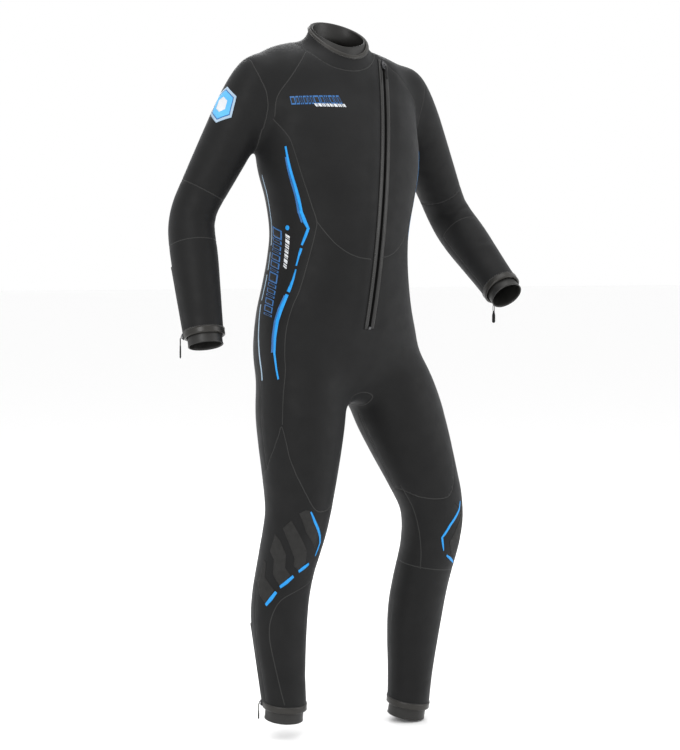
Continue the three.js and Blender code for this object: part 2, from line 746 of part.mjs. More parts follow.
function bodyPanels() {
  let shell = bodyForm(0, false).subtract(bodyForm(-WALL, true));
  for (const cut of seams()) shell = shell.subtract(cut);
  const bodies = separate(shell.subtract(mainZipSlot()));
  const panels = {
    collar: neckPoint(0.66, 0),
    chest_right: torsoPoint(1150, -20),
    chest_left: torsoPoint(1150, 40),
    front_lower: torsoPoint(760, 0),
    side_panel_right: torsoPoint(900, -95),
    side_panel_left: torsoPoint(900, 95),
    back_upper: torsoPoint(1180, 180),
    back_lower: torsoPoint(880, 180),
    crotch_gusset: GUSSET.centre.clone().add(graded(0, 0, -14)),
    yoke_right: limbPoint(LIMBS.arm_right, -0.1, 20),
    yoke_left: limbPoint(LIMBS.arm_left, -0.1, 20),
    upper_sleeve_right: limbPoint(LIMBS.arm_right, 0.5, 90),
    upper_sleeve_left: limbPoint(LIMBS.arm_left, 0.5, 90),
    knee_panel_right: limbPoint(LIMBS.leg_right, 1, 0),
    knee_panel_left: limbPoint(LIMBS.leg_left, 1, 0),
  };
  for (const [name, point] of Object.entries(panels)) {
    const reach = bodies.map((body) => nearness(body, point));
    const body = bodies[reach.indexOf(Math.min(...reach))];
    const soft = name.startsWith("knee") || name.startsWith("side") ? "stretch" : "jersey";
    piece(name, soft, body);
  }
}

function neckParts() {
  const foot = COLLAR_TOP - BINDING + BINDING_GAP;
  const binding = neckTube(foot, COLLAR_TOP, -BINDING_PROUD, WALL + BINDING_PROUD);
  piece("collar_binding", "tape", binding.subtract(mainZipSlot()));
  piece("neck_seal", "smooth_skin", neckTube(NECK_SEAL_FOOT, 1, WALL + SEAL_FIT, SEAL_WALL));
}

function mainZip() {
  const low = -ZIP_THICK;
  const half = ZIP_TEETH / 2;
  const run = frames(mainZipFrame, 0, MAIN_ZIP_LENGTH - FIT, 22);
  for (const [name, side] of [["right", -1], ["left", 1]]) {
    const near = half + FIT;
    const far = half + FIT + ZIP_TAPE;
    const section = side > 0 ? strip(near, far, low, 0.6) : strip(-far, -near, low, 0.6);
    piece(`main_zip_tape_${name}`, "tape", toSolid(sweep(run, section)));
  }
  const chain = frames(mainZipFrame, ZIP_STOP + FIT, MAIN_ZIP_LENGTH - ZIP_STOP - 2 * FIT, 22);
  piece("main_zip_teeth", "teeth", toSolid(sweep(chain, strip(-half, half, low, 1.2))));
  const end = MAIN_ZIP_LENGTH - FIT;
  for (const [name, from] of [["top", 0], ["bottom", end - ZIP_STOP]]) {
    const stop = frames(mainZipFrame, from, from + ZIP_STOP, 1);
    piece(`main_zip_${name}_stop`, "slider", toSolid(sweep(stop, strip(-half, half, low, 2.4))));
  }
  const under = frames(mainZipFrame, 8, MAIN_ZIP_LENGTH + 12, 12);
  const cutter = toSolid(sweep(under, strip(-FLAP_WIDTH / 2, FLAP_WIDTH / 2, -22, 8)));
  const layer = toSolid(torsoLoft(-WALL - FIT)).subtract(toSolid(torsoLoft(-WALL - FIT - FLAP_THICK)));
  const tapeRoom = sweep(frames(mainZipFrame, -10, MAIN_ZIP_LENGTH + 4, 22),
    strip(-MAIN_SLOT, MAIN_SLOT, low - FIT, 20));
  piece("main_zip_underflap", "jersey", layer.intersect(cutter).subtract(toSolid(tapeRoom)));
}

// A slider over a chain: a body with a bridge on top, as one solid.
function sliderSolid(frameAt, length, size, lift) {
  const half = size.width / 2;
  const top = lift + size.height;
  const run = frames(frameAt, length, length + size.length, 3);
  const shape = [[-half, lift], [-half, top - 1.6], [-half + 2, top], [half - 2, top]];
  const section = [...shape, [half, top - 1.6], [half, lift]];
  const body = toSolid(sweep(run, section));
  const bridge = frames(frameAt, length + size.length * 0.25, length + size.length * 0.75, 1);
  const wide = BRIDGE.width / 2;
  return body.add(toSolid(sweep(bridge, strip(-wide, wide, top - 0.5, top + BRIDGE.rise))));
}

// A pull that hangs from the bridge, narrow at its upper end.
function pullSolid(pivot, hang, out, size) {
  const across = out.clone().cross(hang).normalize();
  const shape = new THREE.Shape();
  const half = size.width / 2;
  shape.moveTo(-half * 0.6, 0);
  shape.lineTo(half * 0.6, 0);
  shape.lineTo(half, size.length * 0.35);
  shape.lineTo(half, size.length * 0.9);
  shape.lineTo(half * 0.6, size.length);
  shape.lineTo(-half * 0.6, size.length);
  shape.lineTo(-half, size.length * 0.9);
  shape.lineTo(-half, size.length * 0.35);
  const geometry = new THREE.ExtrudeGeometry(shape, { depth: size.thick, bevelEnabled: false });
  const basis = new THREE.Matrix4().makeBasis(across.clone().negate(), hang, out);
  if (basis.determinant() < 0) basis.makeBasis(across, hang, out);
  const place = pivot.clone().addScaledVector(out, -size.thick / 2);
  geometry.applyMatrix4(basis.setPosition(place));
  return toSolid(geometry);
}

function mainSlider() {
  const lift = 1.2 + FIT;
  const start = ZIP_STOP + 2;
  const slide = mover("main_zip_travel", ARC.centre, ARC.axis);
  piece("main_slider", "slider", sliderSolid(mainZipFrame, start, SLIDER, lift), slide);
  const { point, out, down } = mainZipFrame(start + SLIDER.length * 0.8);
  const height = lift + SLIDER.height + BRIDGE.rise + MAIN_PULL.thick / 2 + PULL_FIT;
  const pivot = point.clone().addScaledVector(out, height);
  const across = out.clone().cross(down);
  const swing = mover("main_pull_swing", pivot, across, slide);
  piece("main_pull", "pull", pullSolid(pivot, down, out, MAIN_PULL), swing);
}

// One cuff end: the covering panels, the hem band, the seal, the zip and its slider and pull.
function cuff(limb, side, kind) {
  const { prefix, run, stand, pull, joint, moving, panels } = kind;
  const parent = mover(`${joint}_${side}`, limb.joints[1], bendAxis(limb));
  const frameAt = cuffZipFrame(limb, run);
  const hemPlace = placeFrom(limb, 2, -HEM);
  const gap = SEAM / limb.joints[1].distanceTo(limb.joints[2]);
  const slot = toSolid(sweep(frames(frameAt, -30, run + FIT, 1).reverse(),
    strip(-CUFF_SLOT, CUFF_SLOT, -16, 16)));
  const top = placeFrom(limb, 1, moving) + gap;
  let sleeve = limbTube(limb, top, hemPlace - gap / 2, 0, WALL, 3).subtract(slot);
  if (panels.length > 1) {
    for (const angle of [SHIN_OUTER, SHIN_INNER]) {
      const stops = between(top - 0.02, hemPlace + 0.02, 4);
      sleeve = sleeve.subtract(ribbon(stops.map((place) => limbStop(limb, place, angle))));
    }
  }
  const bodies = separate(sleeve);
  for (const [name, angle] of panels) {
    const point = limbPoint(limb, (top + hemPlace) / 2, angle);
    const reach = bodies.map((body) => nearness(body, point));
    piece(`${name}_${side}`, "jersey", bodies[reach.indexOf(Math.min(...reach))], parent);
  }
  const hem = limbTube(limb, hemPlace + gap / 2, 2, 0, WALL).subtract(slot);
  piece(`${prefix}_hem_${side}`, "tape", hem, parent);
  const [tucked, rim] = [placeFrom(limb, 2, -SEAL_TUCK), placeFrom(limb, 2, stand)];
  const seal = limbTube(limb, tucked, rim, WALL + SEAL_FIT, SEAL_WALL);
  piece(`${prefix}_seal_${side}`, "smooth_skin", seal, parent);
  const half = CUFF_TEETH / 2;
  const far = half + FIT + CUFF_TAPE;
  const tapes = frames(frameAt, 0, run, 3).reverse();
  const bridge = frames(frameAt, run - 5, run, 1).reverse();
  const tape = toSolid(sweep(tapes, strip(-far, -half - FIT, -2.6, 0.4)))
    .add(toSolid(sweep(tapes, strip(half + FIT, far, -2.6, 0.4))))
    .add(toSolid(sweep(bridge, strip(-far, far, -2.6, 0.4))));
  piece(`${prefix}_zip_tape_${side}`, "tape", tape, parent);
  const chain = frames(frameAt, 0, run - 5 - FIT, 3).reverse();
  piece(`${prefix}_zip_teeth_${side}`, "teeth", toSolid(sweep(chain, strip(-half, half, -2.6, 1))), parent);
  const { point: zipFoot, out, down } = frameAt(0);
  const lift = 1 + FIT;
  const slide = mover(`${prefix}_zip_travel_${side}`, zipFoot, down.clone().negate(), parent);
  const upward = (length) => frameAt(CUFF_SLIDER.length - length);
  piece(`${prefix}_slider_${side}`, "slider", sliderSolid(upward, 0, CUFF_SLIDER, lift), slide);
  const level = V(out.x, out.y, 0).normalize();
  const height = lift + CUFF_SLIDER.height + BRIDGE.rise + pull.thick / 2 + PULL_FIT;
  const pivot = frameAt(CUFF_SLIDER.length * PIVOT_SHARE).point.addScaledVector(out, height);
  const hang = V(0, 0, -1);
  const swing = mover(`${prefix}_pull_swing_${side}`, pivot, level.clone().cross(hang), slide);
  piece(`${prefix}_pull_${side}`, "pull", pullSolid(pivot, hang, level, pull), swing);
}

// The axis about which a limb bends further.
function bendAxis(limb) {
  const [root, bend, tip] = limb.joints;
  return bend.clone().sub(root).cross(tip.clone().sub(bend)).normalize();
}

const WRIST = {
  prefix: "wrist", joint: "elbow", run: WRIST_ZIP, stand: WRIST_SEAL_STAND, pull: WRIST_PULL,
  moving: ELBOW_REACH, panels: [["lower_sleeve", 0]],
};
const ANKLE = {
  prefix: "ankle", joint: "knee", run: ANKLE_ZIP, stand: ANKLE_SEAL_STAND, pull: ANKLE_PULL,
  moving: KNEE_REACH, panels: [["shin_panel", 0], ["calf_panel", 200]],
};

function elbowPanel(limb, side) {
  const gap = SEAM / limb.joints[0].distanceTo(limb.joints[2]);
  const from = placeFrom(limb, 1, -ELBOW_REACH) + gap;
  const to = placeFrom(limb, 1, ELBOW_REACH) - gap;
  piece(`elbow_panel_${side}`, "stretch", limbTube(limb, from, to, 0, WALL, 4));
}

bodyPanels();
neckParts();
mainZip();
mainSlider();
for (const side of ["right", "left"]) {
  elbowPanel(LIMBS[`arm_${side}`], side);
  cuff(LIMBS[`arm_${side}`], side, WRIST);
  cuff(LIMBS[`leg_${side}`], side, ANKLE);
}

export default suit;
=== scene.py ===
# %% [markdown]
# A full-length diving wetsuit, standing as if worn. The frame underneath is the model with its
# zips and joints. This lesson lays the looks on it: one soft skin of neoprene, its seams, the
# seals, the zips and the prints.

# %% Load the frame
import json
import math
import bpy
import bmesh
import numpy as np
from mathutils import Matrix, Vector
from mathutils.bvhtree import BVHTree


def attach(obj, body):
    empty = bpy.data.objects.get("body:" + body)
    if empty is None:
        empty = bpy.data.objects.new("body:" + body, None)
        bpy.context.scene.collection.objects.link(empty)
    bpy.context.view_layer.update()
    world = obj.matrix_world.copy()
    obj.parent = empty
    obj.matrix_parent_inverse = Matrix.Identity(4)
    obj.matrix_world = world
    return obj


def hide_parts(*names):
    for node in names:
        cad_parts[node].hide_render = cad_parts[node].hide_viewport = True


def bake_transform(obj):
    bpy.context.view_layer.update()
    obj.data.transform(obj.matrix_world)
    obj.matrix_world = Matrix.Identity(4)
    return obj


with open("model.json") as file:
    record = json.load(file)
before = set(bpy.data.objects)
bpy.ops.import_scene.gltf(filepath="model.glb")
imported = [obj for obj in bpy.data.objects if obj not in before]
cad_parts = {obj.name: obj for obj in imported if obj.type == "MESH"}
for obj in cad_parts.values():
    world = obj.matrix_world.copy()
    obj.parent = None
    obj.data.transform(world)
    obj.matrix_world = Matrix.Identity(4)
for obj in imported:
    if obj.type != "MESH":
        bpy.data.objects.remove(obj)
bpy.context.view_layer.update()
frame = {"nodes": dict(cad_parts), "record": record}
joints = {joint["name"]: joint for joint in frame["record"]["behaviour"]["joints"]}

# %% [markdown]
# The camera comes first, so that everything after it can be judged in one view. It stands four
# metres away, a little above the waist, and looks at the suit's right front. A long lens keeps the
# limbs in proportion.

# %% Camera
CAMERA_TURN = math.radians(-35)
CAMERA_RISE = math.radians(3.3)
CAMERA_DISTANCE = 4.0
LOOK_AT = Vector((0, -0.02, -0.682))

camera_data = bpy.data.cameras.new("camera")
camera_data.lens = 92.7
camera_data.sensor_width = 36
camera = bpy.data.objects.new("camera", camera_data)
back = Vector((math.sin(CAMERA_TURN) * math.cos(CAMERA_RISE),
               -math.cos(CAMERA_TURN) * math.cos(CAMERA_RISE), math.sin(CAMERA_RISE)))
camera.location = LOOK_AT + back * CAMERA_DISTANCE
camera.rotation_euler = back.to_track_quat("Z", "Y").to_euler()
bpy.context.scene.collection.objects.link(camera)
bpy.context.scene.camera = camera
print("camera at", [round(c, 2) for c in camera.location])

# %% [markdown]
# The pattern. A worn wetsuit is a body shape, so its sections are given as a tailor would: for
# each height a half width and a depth to the front and to the back. Millimetres are easier to
# read for a body, so the tables keep them, and one function turns them into metres.

# %% The pattern tables
HANG = np.array([0.0, 20.0, 1400.0])
BELLY = 2.3

# height, centre x, centre y, half width, front depth, back depth
TORSO = [
    (1406, -3, 50, 58, 12, 16), (1400, -8, 48, 92, 20, 24), (1389, -11, 44, 134, 36, 38),
    (1371, -8, 37, 170, 62, 55), (1342, -3, 26, 187, 72, 72), (1300, 0, 16, 186, 79, 93),
    (1250, 0, 9, 182, 98, 110), (1200, -2, 5, 184, 110, 116), (1140, -3, 2, 178, 121, 114),
    (1080, -4, 0, 161, 129, 106), (1015, -9, -2, 148, 131, 100), (965, -13, -3, 149, 130, 102),
    (910, -15, -3, 157, 126, 110), (850, -14, -2, 170, 118, 122), (790, -6, 0, 183, 108, 132),
    (740, 0, 4, 187, 98, 134), (700, 3, 8, 170, 84, 124), (664, 3, 10, 120, 60, 92),
]
# share of the neck, centre x, y, z, half width, front depth, back depth
NECK = [
    (0, 0, 14, 1356, 114, 84, 80), (0.2, 0, 12, 1370, 98, 76, 74), (0.4, 2, 12, 1384, 80, 69, 67),
    (0.65, 4, 13, 1399, 69, 65, 64), (1, 6, 15, 1419, 63, 62, 62),
]
NECK_TILT = math.radians(30)
# place (0 shoulder, 1 elbow, 2 wrist), half width, front depth, back depth, share of the bow
ARM = [
    (-0.17, 22, 20, 20, 0), (-0.14, 38, 36, 36, 0), (-0.08, 50, 50, 50, 0), (0.03, 56, 58, 58, 0),
    (0.2, 57, 60, 60, 0), (0.42, 54, 56, 56, 0), (0.66, 50, 51, 51, 0), (0.86, 46, 48, 48, 0),
    (1, 46, 48, 48, 0), (1.15, 47, 49, 49, 0), (1.35, 48, 48, 48, 0), (1.6, 45, 44, 44, 0),
    (1.85, 42, 40, 40, 0), (2, 41, 39, 39, 0),
]
LEG = [
    (-0.1, 74, 80, 92, 0), (0.08, 90, 94, 100, 0), (0.26, 92, 95, 98, 0), (0.46, 85, 88, 88, 0),
    (0.66, 75, 79, 78, 0), (0.84, 67, 69, 72, 0.04), (0.96, 65, 63, 72, 0.22),
    (1.06, 63, 58, 72, 0.45), (1.2, 60, 54, 68, 0.8), (1.35, 59, 53, 68, 1),
    (1.5, 58, 52, 68, 0.97), (1.66, 54, 49, 61, 0.74), (1.82, 48, 46, 53, 0.38),
    (2, 45, 45, 46, 0),
]


def spot(x, y, z):
    return np.array([x, y, z], float)


LIMBS = {
    "arm_right": dict(side=-1, table=ARM, round=45, zip=130, run=150, child="forearm_right",
                      joints=[spot(-178, 32, 1316), spot(-302, 98, 1042), spot(-314, 20, 804)],
                      bow=spot(0, 0, 0)),
    "arm_left": dict(side=1, table=ARM, round=45, zip=175, run=150, child="forearm_left",
                     joints=[spot(180, 30, 1312), spot(351, 86, 1054), spot(358, -92, 893)],
                     bow=spot(0, 0, 0)),
    "leg_right": dict(side=-1, table=LEG, round=80, zip=126, run=172, child="shin_right",
                      joints=[spot(-93, 4, 735), spot(-120, -24, 392), spot(-128, 16, 36)],
                      bow=spot(-11, 27, 0)),
    "leg_left": dict(side=1, table=LEG, round=80, zip=126, run=172, child="shin_left",
                     joints=[spot(105, -2, 735), spot(213, -66, 402), spot(168, -12, 10)],
                     bow=spot(-3, 24, 0)),
}


def unit(v):
    return v / np.linalg.norm(v)


def curve(a, b, c, d, t):
    """The smooth curve from b to c that also heeds the neighbours a and d."""
    m, n = (c - a) / 2, (d - b) / 2
    return ((2 * b - 2 * c + m + n) * t + (3 * c - 3 * b - 2 * m - n)) * t * t + m * t + b


def at(table, key):
    """A row of a table at a value of its first column, along a smooth curve."""
    rising = 1 if table[1][0] > table[0][0] else -1
    i = 0
    while i < len(table) - 2 and (key - table[i + 1][0]) * rising > 0:
        i += 1
    a, b, c, d = (np.array(table[min(max(i + k, 0), len(table) - 1)], float) for k in (-1, 0, 1, 2))
    return curve(a, b, c, d, min(max((key - b[0]) / (c[0] - b[0]), 0), 1))


def section(centre, side, front, size, angle, grow, power):
    """Points of a section that is half an ellipse in front and half behind, angle in radians."""
    s, c = np.sin(angle), np.cos(angle)
    x = np.sign(s) * np.abs(s) ** (2 / power) * (size[0] + grow)
    y = np.sign(c) * np.abs(c) ** (2 / power) * (np.where(c > 0, size[1], size[2]) + grow)
    return centre + np.multiply.outer(x, side) + np.multiply.outer(y, front)


RIGHTWARD, FORWARD = spot(1, 0, 0), spot(0, -1, 0)


def torso_spot(height, degrees, grow=0):
    row = at(TORSO, height)
    return section(spot(row[1], row[2], height), RIGHTWARD, FORWARD, row[3:], np.radians(degrees),
                   grow, BELLY)


def torso_front(x, height):
    row = at(TORSO, height)
    share = abs((x - row[1]) / row[3])
    return spot(x, row[2] - row[4] * (1 - share ** BELLY) ** (1 / BELLY), height)


NECK_RISE = spot(0, -math.sin(NECK_TILT), math.cos(NECK_TILT))
NECK_FRONT = spot(0, -math.cos(NECK_TILT), -math.sin(NECK_TILT))


def neck_spot(share, degrees, grow=0):
    row = at(NECK, min(share, 1))
    centre = row[1:4] + NECK_RISE * max(share - 1, 0) * 60
    return section(centre, RIGHTWARD, NECK_FRONT, row[4:], np.radians(degrees), grow, 2)


def limb_frame(limb, place):
    """Centre, side, front and down directions and half sizes of a limb at a place."""
    root, bend, tip = limb["joints"]
    first, second = unit(bend - root), unit(tip - bend)
    bone = np.linalg.norm(bend - root if place < 1 else tip - bend)
    along = (place - 1) * bone
    centre = bend + first * min(along, 0) + second * max(along, 0)
    down = first if along < 0 else second
    reach = limb["round"]
    if abs(along) < reach:
        t = (along + reach) / (2 * reach)
        centre = (1 - t) ** 2 * (bend - first * reach) + 2 * t * (1 - t) * bend \
            + t * t * (bend + second * reach)
        down = unit(first * (1 - t) + second * t)
    row = at(limb["table"], min(place, 2))
    centre = centre + limb["bow"] * row[4]
    front = unit(FORWARD + down * down[1])
    return centre, np.cross(front, down), front, down, row[1:4]


def limb_spot(limb, place, degrees, grow=0):
    centre, side, front, _, size = limb_frame(limb, place)
    return section(centre, side, front, size, np.radians(degrees) * limb["side"], grow, 2)


def place_from(limb, whole, length):
    root, bend, tip = limb["joints"]
    above = length < 0 if whole == 1 else length >= 0
    bone = np.linalg.norm(bend - root) if whole == 1 and above else np.linalg.norm(tip - bend)
    return whole + length / bone


def metres(points):
    return (np.asarray(points, float) - HANG) / 1000


print("shoulder to shoulder", round(2 * at(TORSO, 1342)[3]), "mm")

# %% [markdown]
# The body form. Six lofts make a torso, a neck, two arms and two legs. They overlap like clay
# limbs pushed together. Blender's voxel remesh melts them into one even skin, which is the only
# kind of mesh that takes folds and creases well. Smoothing then rounds the places where a limb
# leaves the torso.

# %% Lofts
TORSO_TURNS = np.linspace(0, 360, 96, endpoint=False)
LIMB_TURNS = np.linspace(0, 360, 64, endpoint=False)


def ring_faces(rings, sides, closed=False):
    """Faces between neighbouring rings of points. If closed, the last ring joins the first."""
    faces = []
    for r in range(rings if closed else rings - 1):
        s = (r + 1) % rings
        for k in range(sides):
            m = (k + 1) % sides
            faces.append((r * sides + k, r * sides + m, s * sides + m, s * sides + k))
    return faces


def end_faces(rings, sides):
    """The two faces that close the first and the last ring."""
    return [tuple(range(sides - 1, -1, -1)), tuple((rings - 1) * sides + k for k in range(sides))]


def loft(rings):
    """A closed body through rings of points, with a fan over each end."""
    rings = [np.asarray(ring) for ring in rings]
    sides = len(rings[0])
    verts = np.vstack(rings + [rings[0].mean(0)[None], rings[-1].mean(0)[None]])
    faces = ring_faces(len(rings), sides)
    last, first_hub = (len(rings) - 1) * sides, len(rings) * sides
    for k in range(sides):
        faces.append((first_hub, (k + 1) % sides, k))
        faces.append((first_hub + 1, last + k, last + (k + 1) % sides))
    return verts, faces


def gather(pieces):
    """Several meshes as one."""
    verts, faces, count = [], [], 0
    for piece_verts, piece_faces in pieces:
        verts.append(piece_verts)
        faces += [tuple(i + count for i in face) for face in piece_faces]
        count += len(piece_verts)
    return np.vstack(verts), faces


def new_object(name, verts, faces, smooth=True):
    mesh = bpy.data.meshes.new(name)
    mesh.from_pydata([tuple(v) for v in np.asarray(verts)], [], [tuple(f) for f in faces])
    mesh.update()
    if smooth:
        mesh.polygons.foreach_set("use_smooth", [True] * len(mesh.polygons))
    obj = bpy.data.objects.new(name, mesh)
    bpy.context.scene.collection.objects.link(obj)
    return obj


def fix_normals(obj):
    mesh = bmesh.new()
    mesh.from_mesh(obj.data)
    bmesh.ops.recalc_face_normals(mesh, faces=mesh.faces)
    mesh.to_mesh(obj.data)
    mesh.free()
    return obj


forms = [loft([torso_spot(h, TORSO_TURNS) for h in np.linspace(1405, 665, 120)]),
         loft(([neck_spot(s, TORSO_TURNS) for s in np.linspace(0, 1, 24)]
               + [neck_spot(1, TORSO_TURNS) + NECK_RISE * rise for rise in (8, 16, 24)])[::-1])]
for limb in LIMBS.values():
    first = limb["table"][0][0]
    forms.append(loft([limb_spot(limb, p, LIMB_TURNS) for p in np.linspace(first, 2.06, 150)]))
print("lofts:", len(forms))

# %% One skin out of six lofts
VOXEL = 0.0048

form_verts, form_faces = gather(forms)
form = fix_normals(new_object("form", metres(form_verts), form_faces))
remesh = form.modifiers.new("melt", "REMESH")
remesh.mode = "VOXEL"
remesh.voxel_size = VOXEL
melted = form.evaluated_get(bpy.context.evaluated_depsgraph_get()).to_mesh()
skin = np.empty(len(melted.vertices) * 3)
melted.vertices.foreach_get("co", skin)
skin = skin.reshape(-1, 3)
skin_faces = [tuple(p.vertices) for p in melted.polygons]
skin_edges = np.empty(len(melted.edges) * 2, int)
melted.edges.foreach_get("vertices", skin_edges)
skin_edges = skin_edges.reshape(-1, 2)
form.to_mesh_clear()
bpy.data.objects.remove(form)
print("skin:", len(skin), "points")

# %% Smoothing


def smooth(points, edges, weight, times):
    """Moves each point towards the middle of its neighbours, by its weight, many times."""
    degree = np.bincount(edges.ravel(), minlength=len(points))[:, None]
    weight = np.asarray(weight)[:, None] if np.ndim(weight) else weight
    for _ in range(times):
        total = np.stack([np.bincount(edges[:, 0], points[edges[:, 1], k], len(points))
                          + np.bincount(edges[:, 1], points[edges[:, 0], k], len(points))
                          for k in range(3)], 1)
        points = points + (total / degree - points) * weight
    return points


def near(points, centre, reach):
    """1 at a centre given in pattern millimetres, falling to 0 at a distance in metres."""
    away = np.linalg.norm(points - metres(centre), axis=1) / reach
    return np.clip(1 - away, 0, 1) ** 1.5


hips = np.exp(-((skin[:, 2] + 0.675) / 0.075) ** 2)
shoulders = near(skin, spot(-165, 30, 1335), 0.13) + near(skin, spot(165, 30, 1335), 0.13)
armpits = near(skin, spot(-185, 25, 1240), 0.1) + near(skin, spot(188, 25, 1235), 0.1)
collar_foot = near(skin, spot(0, 14, 1385), 0.15) * 0.4
soft = np.clip(hips + shoulders + armpits + collar_foot, 0, 1) * 0.5
skin = smooth(skin, skin_edges, 0.5, 8)
skin = smooth(skin, skin_edges, soft, 110)
print("skin height", round(float(np.ptp(skin[:, 2])), 3), "m")

# %% [markdown]
# Normals are needed all the time: to raise a fold, to lay a seam on the skin and to give the
# neoprene its thickness. They are worked out here once for the whole skin, by adding up the
# directions of the faces round each point.

# %% Normals


def point_normals(points, faces):
    quads = np.array([f if len(f) == 4 else (*f, f[2]) for f in faces])
    a, b, c, d = (points[quads[:, k]] for k in range(4))
    across = np.cross(c - a, d - b)
    normals = np.zeros_like(points)
    for k in range(4):
        np.add.at(normals, quads[:, k], across)
    return normals / np.maximum(np.linalg.norm(normals, axis=1, keepdims=True), 1e-12)


def surface(points, faces):
    return BVHTree.FromPolygons([tuple(p) for p in points], [tuple(f) for f in faces])


normals = point_normals(skin, skin_faces)
outwards = float(np.mean(np.sum(normals[:, :2] * (skin[:, :2] - [0, 0]), 1)))
if outwards < 0:
    skin_faces = [tuple(reversed(f)) for f in skin_faces]
    normals = -normals
print("skin faces:", len(skin_faces))

# %% [markdown]
# Where the front zip runs, the neoprene is stiff and flat, because the tape is glued and sewn to
# it. The zip lies on one arc over chest and belly, and the slider travels along that arc. So the
# skin is laid flat beside the arc before anything is put on it.

# %% The line of the front zip
ZIP_ENDS = [torso_front(93, 1366), torso_front(19, 1092), torso_front(-8, 816)]
ZIP_TWIST = math.radians(28)
ZIP_TAPE, ZIP_CHAIN, FIT = 9.0, 6.4, 0.35
CUFF_TAPE, CUFF_CHAIN = 7.0, 5.2


def turned(v, axis, angle):
    return np.array(Matrix.Rotation(angle, 3, Vector(axis)) @ Vector(v))


zip_axis = np.cross(ZIP_ENDS[1] - ZIP_ENDS[0], ZIP_ENDS[2] - ZIP_ENDS[0])
to_middle, to_bottom = ZIP_ENDS[1] - ZIP_ENDS[0], ZIP_ENDS[2] - ZIP_ENDS[0]
ab, aa, bb = to_middle @ to_bottom, to_middle @ to_middle, to_bottom @ to_bottom
zip_centre = ZIP_ENDS[0] + (to_middle * bb * (aa - ab) + to_bottom * aa * (bb - ab)) \
    / (2 * (aa * bb - ab * ab))
zip_axis = unit(zip_axis)
zip_start = unit(ZIP_ENDS[0] - zip_centre)
zip_radius = np.linalg.norm(ZIP_ENDS[0] - zip_centre)
zip_length = zip_radius * math.acos(zip_start @ unit(ZIP_ENDS[2] - zip_centre))
lean = 1 if turned(zip_start, np.cross(zip_axis, zip_start), ZIP_TWIST)[0] > zip_start[0] else -1


def main_zip(length):
    """Point, outward and downward direction of the front zip, at a length from its top."""
    radial = turned(zip_start, zip_axis, length / zip_radius)
    down = np.cross(zip_axis, radial)
    return zip_centre + radial * zip_radius, turned(radial, down, ZIP_TWIST * lean), down


def cuff_zip(limb):
    """The straight line of a cuff zip, at a length above the tip of the limb."""
    bottom = limb_spot(limb, 2, limb["zip"])
    top = limb_spot(limb, place_from(limb, 2, -limb["run"]), limb["zip"])
    half_way = place_from(limb, 2, -limb["run"] / 2)
    out = limb_spot(limb, half_way, limb["zip"], 10) - limb_spot(limb, half_way, limb["zip"])
    down = unit(bottom - top)
    out = unit(out - down * (out @ down))
    return lambda length: (bottom - down * length, out, down)


for limb in LIMBS.values():
    limb["line"] = cuff_zip(limb)
print("front zip:", round(zip_length), "mm on a radius of", round(zip_radius))

# %% Lay the skin flat beside the zips


def in_reach(points, line, reach):
    """Numbers of the points in the box round a line, widened by a reach in metres."""
    low, high = line.min(0) - reach, line.max(0) + reach
    return np.flatnonzero(np.all((points > low) & (points < high), 1))


def lay_flat(points, line, start, end, flat, ease, depth):
    """Presses points near a zip line into its plane, easing out to the sides and the ends."""
    stops = [line(length) for length in np.arange(start, end, 3.0)]
    place = metres([s[0] for s in stops])
    out, down = np.array([s[1] for s in stops]), np.array([s[2] for s in stops])
    close = in_reach(points, place, 0.08)
    nearest = np.linalg.norm(points[close][:, None] - place[None], axis=2).argmin(1)
    offset = points[close] - place[nearest]
    o, d = out[nearest], down[nearest]
    across = np.abs(np.sum(offset * np.cross(o, d), 1)) * 1000
    beyond = np.abs(np.sum(offset * d, 1)) * 1000
    height = np.sum(offset * o, 1) * 1000
    share = np.clip((ease - across) / (ease - flat), 0, 1) * np.clip((16 - beyond) / 14, 0, 1)
    share *= np.clip((30 - np.abs(height)) / 10, 0, 1)
    share = share * share * (3 - 2 * share)
    points = points.copy()
    points[close] += o * ((-depth - height) * share)[:, None] / 1000
    return points


skin = lay_flat(skin, main_zip, -8, zip_length, 13, 42, 1.4)
for limb in LIMBS.values():
    skin = lay_flat(skin, limb["line"], 0, limb["run"], 11, 22, 1.2)
skin = smooth(skin, skin_edges, 0.5, 2)
normals = point_normals(skin, skin_faces)
print("skin laid beside", 1 + len(LIMBS), "zips")

# %% [markdown]
# Neoprene of five millimetres doesn't fold like cloth. It makes a few broad, soft creases where
# the body bends: inside the elbows, behind the knees, at the hips and under the arms. A cloth
# simulation would need a body inside the suit and would give thin folds, so each crease is pressed
# into the skin here along its own short line.

# %% Soft creases


def curve_through(points, step, closed=False):
    """Evenly spaced points in metres on a smooth curve through pattern points."""
    points = np.array(points, float)
    if closed:
        points = np.vstack([points[-1:], points, points[:2]])
    else:
        points = np.vstack([2 * points[0] - points[1], points, 2 * points[-1] - points[-2]])
    dense = []
    for i in range(1, len(points) - 2):
        t = np.linspace(0, 1, 40, endpoint=False)[:, None]
        dense.append(curve(*points[i - 1:i + 3], t))
    dense = np.vstack(dense + [points[-2:-1]])
    length = np.concatenate([[0], np.cumsum(np.linalg.norm(np.diff(dense, axis=0), axis=1))])
    count = max(int(length[-1] / step), 3)
    even = np.linspace(0, length[-1], count + (0 if closed else 1), endpoint=not closed)
    return metres(np.stack([np.interp(even, length, dense[:, k]) for k in range(3)], 1))


